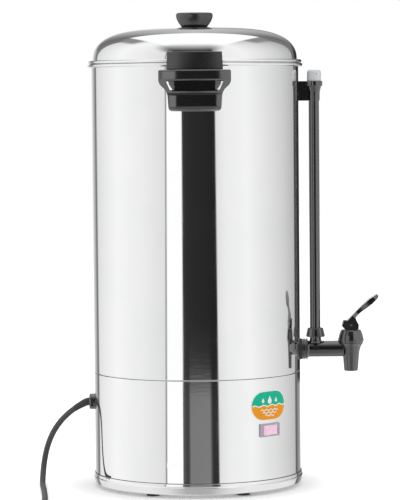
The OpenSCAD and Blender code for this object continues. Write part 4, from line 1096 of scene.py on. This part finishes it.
def wrapped(name, outline, lift, look):
    """A flat outline in front of the body, laid on the skirt at a small height."""
    piece = line_of(name, [(x, -130, z) for x, z in outline + outline[:1]])
    closed_up()
    only(piece)
    bpy.ops.object.mode_set(mode="EDIT")
    bpy.ops.mesh.select_all(action="SELECT")
    bpy.ops.mesh.edge_face_add()
    left, right = min(x for x, z in outline), max(x for x, z in outline)
    for x in range(math.floor(left / 2) * 2 + 2, math.ceil(right), 2):
        bpy.ops.mesh.select_all(action="SELECT")
        bpy.ops.mesh.bisect(plane_co=(x * MM, 0, 0), plane_no=(1, 0, 0))
    bpy.ops.object.mode_set(mode="OBJECT")
    for vertex in piece.data.vertices:          # a flat print keeps its width round the body
        a = vertex.co.x / (BODY_R * MM)
        r = (BODY_R + lift) * MM
        vertex.co = (r * math.sin(a), -r * math.cos(a), vertex.co.z)
    applied(piece, "SOLIDIFY", thickness=FILM_T * MM, offset=0)
    only(piece)
    bpy.ops.object.mode_set(mode="EDIT")
    closed_up()
    smooth(piece, 30)
    facing(piece, SWITCH_AZIMUTH)
    return dressed(piece, "urn", "switch_grey", look=look)


def pill(half_w, half_h):
    right = arc(half_w - half_h, LABEL_Z, half_h, -90, 90, 10)
    return right + [(-x, z) for x, z in reversed(right)]


def wave(x0, x1, z, swing, length, width, steps=24):
    across = [(x1 - x0) * i / steps for i in range(steps + 1)]
    centre = [(x0 + x, z + swing * math.sin(2 * math.pi * x / length)) for x in across]
    return [(x, y + width / 2) for x, y in centre] + [(x, y - width / 2) for x, y in reversed(centre)]


def drop(x, z, r):
    return arc(x, z, r, 150, 390, 16) + [(x + r * 0.42, z + r * 1.25), (x, z + r * 2.1), (x - r * 0.42, z + r * 1.25)]


# %% The film, its two halves and its signs
FILM_LIFT, COLOUR_LIFT, SIGN_LIFT = 0.1, 0.25, 0.4
wrapped("label_film", pill(28, 17.6), FILM_LIFT, pale_print)
upper = [(x, z) for x, z in pill(27, 16.6) if z >= LABEL_Z - 0.01]
wrapped("label_green", upper, COLOUR_LIFT, green_print)
wrapped("label_amber", [(x, 2 * LABEL_Z - z) for x, z in upper], COLOUR_LIFT, amber_print)
wrapped("label_line", wave(-26, 26, LABEL_Z, 0.9, 13, 1.3, 52), SIGN_LIFT, pale_print)
for name, x, high, r in (
        ("label_drop", 0, 5.2, 3.1), ("label_drop_left", -10.5, 5.4, 1.9), ("label_drop_right", 10.5, 5.4, 1.9)):
    wrapped(name, drop(x, LABEL_Z + high, r), SIGN_LIFT, pale_print)
for i, (low, reach) in enumerate(((5.2, 14), (8.4, 11), (11.6, 7))):
    wrapped(f"label_steam_{i + 1}", wave(-reach, reach, LABEL_Z - low, 0.7, 7, 1.2, 32), SIGN_LIFT, pale_print)

# %% [markdown]
# ## The lead's gland
# The gland is a snap-in bushing with a rounded head. Two deep slots, one on each side of the
# lead, let its jaws spring together when it is pushed through the wall.

# %% The gland
gland = turned_along_x("lead_gland", [(-131.8, 0)] + soft(
    [(-131.8, 6), (-131.8, 8.2), (-130.6, 9.6), (-125.0, 9.7), (-124.0, 9.4), (-124.0, 6.5), (-112, 6.5)], 0.8)
    + [(-112, 0), (-131.8, 0)], GLAND_Z, 72)
for middle in (-8.2, 8.2):
    cut(gland, block("slot", (-129.4, middle - 2.2, GLAND_Z - 5), (-126.9, middle + 2.2, GLAND_Z + 5)))
softened(gland, 0.3, 2, 40)
dressed(gland, "urn", "black_plastic", "cord_gland")

# %% [markdown]
# ## The studio
# A mirror-bright object is lit by what stands round it. Here that is drawn in the world: two pale
# side panels, a narrow white strip, the dark gap through which the camera looks, a darker zone
# behind, and a soft box overhead. Only glossy rays see that drawing. Other rays see plain white at
# one level, so colours look as they were written, and the camera sees a white backdrop.

# %% The world's nodes
world = bpy.data.worlds.new("studio")
bpy.context.scene.world = world
world.use_nodes = True
tree = world.node_tree
tree.nodes.clear()


def sky(operation, *values):
    return maths(world.node_tree, operation, *values)


def times(first, *others):
    for other in others:
        first = sky("MULTIPLY", first, other)
    return first


def between(value, low, high):
    """0 below low, 1 above high, and even in between."""
    node = add(tree, "ShaderNodeMapRange", interpolation_type="SMOOTHSTEP")
    linked(tree, (value, node.inputs["Value"]))
    node.inputs["From Min"].default_value = low
    node.inputs["From Max"].default_value = high
    return node.outputs["Result"]


def outside(value, low, high):
    """1 below low, and 0 above high."""
    return sky("SUBTRACT", 1, between(value, low, high))


def ramp(value, low, high, *stops):
    """Greys along a value from low to high. A stop is a place and a brightness on the screen's scale of 255."""
    node = add(tree, "ShaderNodeValToRGB")
    ends = node.color_ramp.elements
    for i, (place, level) in enumerate(stops):
        at = (place - low) / (high - low)
        stop = ends[i] if i < 2 else ends.new(at)
        stop.position = at
        stop.color = (screen(level), screen(level), screen(level), 1)
    linked(tree, (sky("DIVIDE", sky("SUBTRACT", value, low), high - low), node.inputs["Fac"]))
    return node.outputs["Color"]


def screen(level):
    return (level / 255) ** 2.2


def mixed(share, a, b):
    node = add(tree, "ShaderNodeMix", data_type="RGBA")
    linked(tree, (share, node.inputs[0]))
    for socket, value in ((node.inputs[6], a), (node.inputs[7], b)):
        if isinstance(value, (int, float)):
            socket.default_value = (value, value, value, 1)
        else:
            linked(tree, (value, socket))
    return node.outputs[2]


# %% The directions that the drawing is made of
sight, axes = add(tree, "ShaderNodeTexCoord"), add(tree, "ShaderNodeSeparateXYZ")
linked(tree, (sight.outputs["Generated"], axes.inputs[0]))
dx, dy, dz = axes.outputs
azimuth = times(sky("ARCTAN2", dx, times(dy, -1)), 180 / math.pi)
elevation = times(sky("ARCSINE", dz), 180 / math.pi)
turn = sky("ABSOLUTE", azimuth)
up = sky("MAXIMUM", dz, 0.001)
side_reach = sky("ABSOLUTE", sky("DIVIDE", dx, up))
back_reach = sky("DIVIDE", dy, up)

# %% The ring of panels at eye level, and the floor that the steel sees
below = sky("MAXIMUM", sky("MINIMUM", elevation, 0), -12)
spread = times(azimuth, sky("ADD", times(below, 0.01), 1))
round_about = ramp(
    spread, -180, 180, (-145, 214), (-120, 232), (-95, 246), (-60, 236), (-33.6, 222), (-33.2, 108),
    (-31.6, 108), (-31.2, 255), (-15.3, 255),
    (-14.7, 60), (-11, 49), (-4, 45), (11, 42), (20.2, 38), (21.2, 54), (21.9, 224), (32, 236), (57, 243),
    (85, 224), (110, 206), (137, 178), (145, 172))
low_gap = ramp(
    spread, -180, 180, (-14.2, 88), (-11, 66), (-8.6, 66), (-7.6, 120), (13.4, 124), (14.4, 56), (19, 48), (21.2, 54))
near_floor = times(between(spread, -14.9, -14.7), outside(spread, 21.0, 21.2), outside(elevation, -6.26, -6.14))
level_ring = mixed(near_floor, round_about, low_gap)
floor_ring = ramp(turn, 0, 180, (0, 168), (14, 172), (34, 214), (60, 232), (120, 228), (180, 190))
with_floor = mixed(between(elevation, -16, -11), floor_ring, level_ring)

# %% The dark front above the camera, which fades upwards
front_high = ramp(
    elevation, 0, 90, (12, 38), (26, 44), (38, 78), (47, 125), (57, 170), (67, 206), (78, 232), (86, 250))
above = sky("DIVIDE", sky("MAXIMUM", sky("SUBTRACT", elevation, 22), 0), 32)
fanned = sky("DIVIDE", azimuth, sky("ADD", above, 1))
in_front = times(between(fanned, -36, -18), outside(fanned, 10, 27), between(elevation, 14, 26))
with_front = mixed(in_front, with_floor, front_high)

# %% What stands behind, which only the outermost edges mirror
left_edge = ramp(
    turn, 140, 180, (143, 200), (144.2, 120), (147.6, 112), (150.5, 150), (156, 182), (162, 206), (170, 228),
    (180, 238))
right_edge = ramp(
    turn, 140, 180, (141.6, 182), (142.6, 84), (146, 112), (150.4, 100), (153.4, 52), (164, 46), (170, 60), (180, 150))
right_low = ramp(
    turn, 140, 180, (141.6, 182), (142.6, 80), (146, 104), (150, 122), (156, 146), (163, 168), (180, 214))
right = mixed(between(elevation, -6.26, -6.14), right_low, right_edge)
back_low = mixed(between(azimuth, -1, 1), left_edge, right)
back_high = ramp(turn, 140, 180, (143, 122), (158, 106), (165, 122), (172, 158), (180, 188))
back = mixed(between(elevation, 4, 15), back_low, back_high)
with_back = mixed(between(turn, 140.8, 141.8), with_front, back)

# %% The soft box overhead, and the grey gap beside it
overhead = times(outside(side_reach, 0.44, 0.5), between(back_reach, -0.5, -0.1), outside(back_reach, 1.1, 1.2))
gap_round = times(between(side_reach, 0.44, 0.5), outside(side_reach, 0.66, 0.9),
                  between(back_reach, 0.2, 0.5), between(elevation, 34, 43))
studio = mixed(overhead, mixed(gap_round, with_back, screen(136)), 1.0)

# %% What other rays see
PLAIN_LEVEL, GLOSSY_LEVEL = 0.88, 1.08


def background(strength):
    node = add(tree, "ShaderNodeBackground")
    node.inputs["Color"].default_value = (1, 1, 1, 1)
    node.inputs["Strength"].default_value = strength
    return node


def either(share, a, b):
    node = add(tree, "ShaderNodeMixShader")
    linked(tree, (share, node.inputs[0]), (a, node.inputs[1]), (b, node.inputs[2]))
    return node.outputs[0]


rays = add(tree, "ShaderNodeLightPath").outputs
drawing = background(GLOSSY_LEVEL)
linked(tree, (studio, drawing.inputs["Color"]))
lit = either(rays["Is Glossy Ray"], background(PLAIN_LEVEL).outputs[0], drawing.outputs[0])
straight = sky("MAXIMUM", rays["Is Camera Ray"], rays["Is Transmission Ray"])
everything = either(straight, lit, background(1).outputs[0])
linked(tree, (everything, add(tree, "ShaderNodeOutputWorld").inputs["Surface"]))

# %% [markdown]
# ### Lamps and floor
# One large lamp above and a little behind gives the soft shadow under the urn, and a weaker one
# from the front left lifts the plastics. The floor is a plain white sheet. For the camera it glows
# a little away from the urn. This is painted light that grows with the distance from the urn and
# leaves the shade round the urn darker, so the floor meets the white backdrop without a horizon.

# %% Lamps
for name, place, size, power in (
        ("top_lamp", (0.15, 0.1, 2.4), 2.4, 16), ("fill_lamp", (-1.6, -2.0, 1.5), 1.4, 7)):
    bpy.ops.object.light_add(type="AREA", location=place)
    lamp = bpy.context.object
    lamp.name = name
    lamp.data.energy = power
    lamp.data.size = size
    lamp.rotation_euler = (Vector((0, 0, 0.2)) - Vector(place)).to_track_quat("-Z", "Y").to_euler()
    lamp.visible_glossy = False

# %% Floor
LIFT_FROM, LIFT_TO, LIFT = 0.125, 0.19, 0.26
deselect()
bpy.ops.mesh.primitive_plane_add(size=14)
floor = bpy.context.object
floor.name = "floor"
floor.visible_glossy = False
paint = bpy.data.materials.new("floor paint")
paint.use_nodes = True
tree = paint.node_tree
surface = tree.nodes["Principled BSDF"].inputs
surface["Roughness"].default_value = 0.9
surface["Specular IOR Level"].default_value = 0
surface["Emission Color"].default_value = (1, 1, 1, 1)
cloudy = add(tree, "ShaderNodeTexNoise", (-700, 0))
cloudy.inputs["Scale"].default_value = 40
white = add(tree, "ShaderNodeMix", (-400, 0), data_type="RGBA")
white.inputs[6].default_value = (1, 1, 1, 1)
white.inputs[7].default_value = (0.985, 0.985, 0.985, 1)
place = add(tree, "ShaderNodeTexCoord", (-1100, -500))
reach = add(tree, "ShaderNodeVectorMath", (-900, -500), operation="LENGTH")
# Camera rays see the floor glow more with the distance from the urn and not at all under it: painted light.
far_off = add(tree, "ShaderNodeMapRange", (-700, -500), interpolation_type="SMOOTHSTEP")
far_off.inputs["From Min"].default_value = LIFT_FROM
far_off.inputs["From Max"].default_value = LIFT_TO
far_off.inputs["To Max"].default_value = LIFT
camera_rays = add(tree, "ShaderNodeLightPath", (-700, -300)).outputs["Is Camera Ray"]
linked(
    tree, (place.outputs["Object"], reach.inputs[0]), (reach.outputs["Value"], far_off.inputs["Value"]),
    (cloudy.outputs["Fac"], white.inputs[0]), (white.outputs[2], surface["Base Color"]),
    (maths(tree, "MULTIPLY", camera_rays, far_off.outputs["Result"]), surface["Emission Strength"]))
floor.data.materials.append(paint)
floor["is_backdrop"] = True

# %% [markdown]
# ## Sizes, and the end
# The dressed urn must stay inside the solid model's box, so both boxes are kept for a last look.

# %% Keep the sizes and finish
bpy.context.scene.view_settings.view_transform = "Standard"
low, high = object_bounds()
{"cad": [list(cad_low), list(cad_high)], "visual": [list(low), list(high)]}
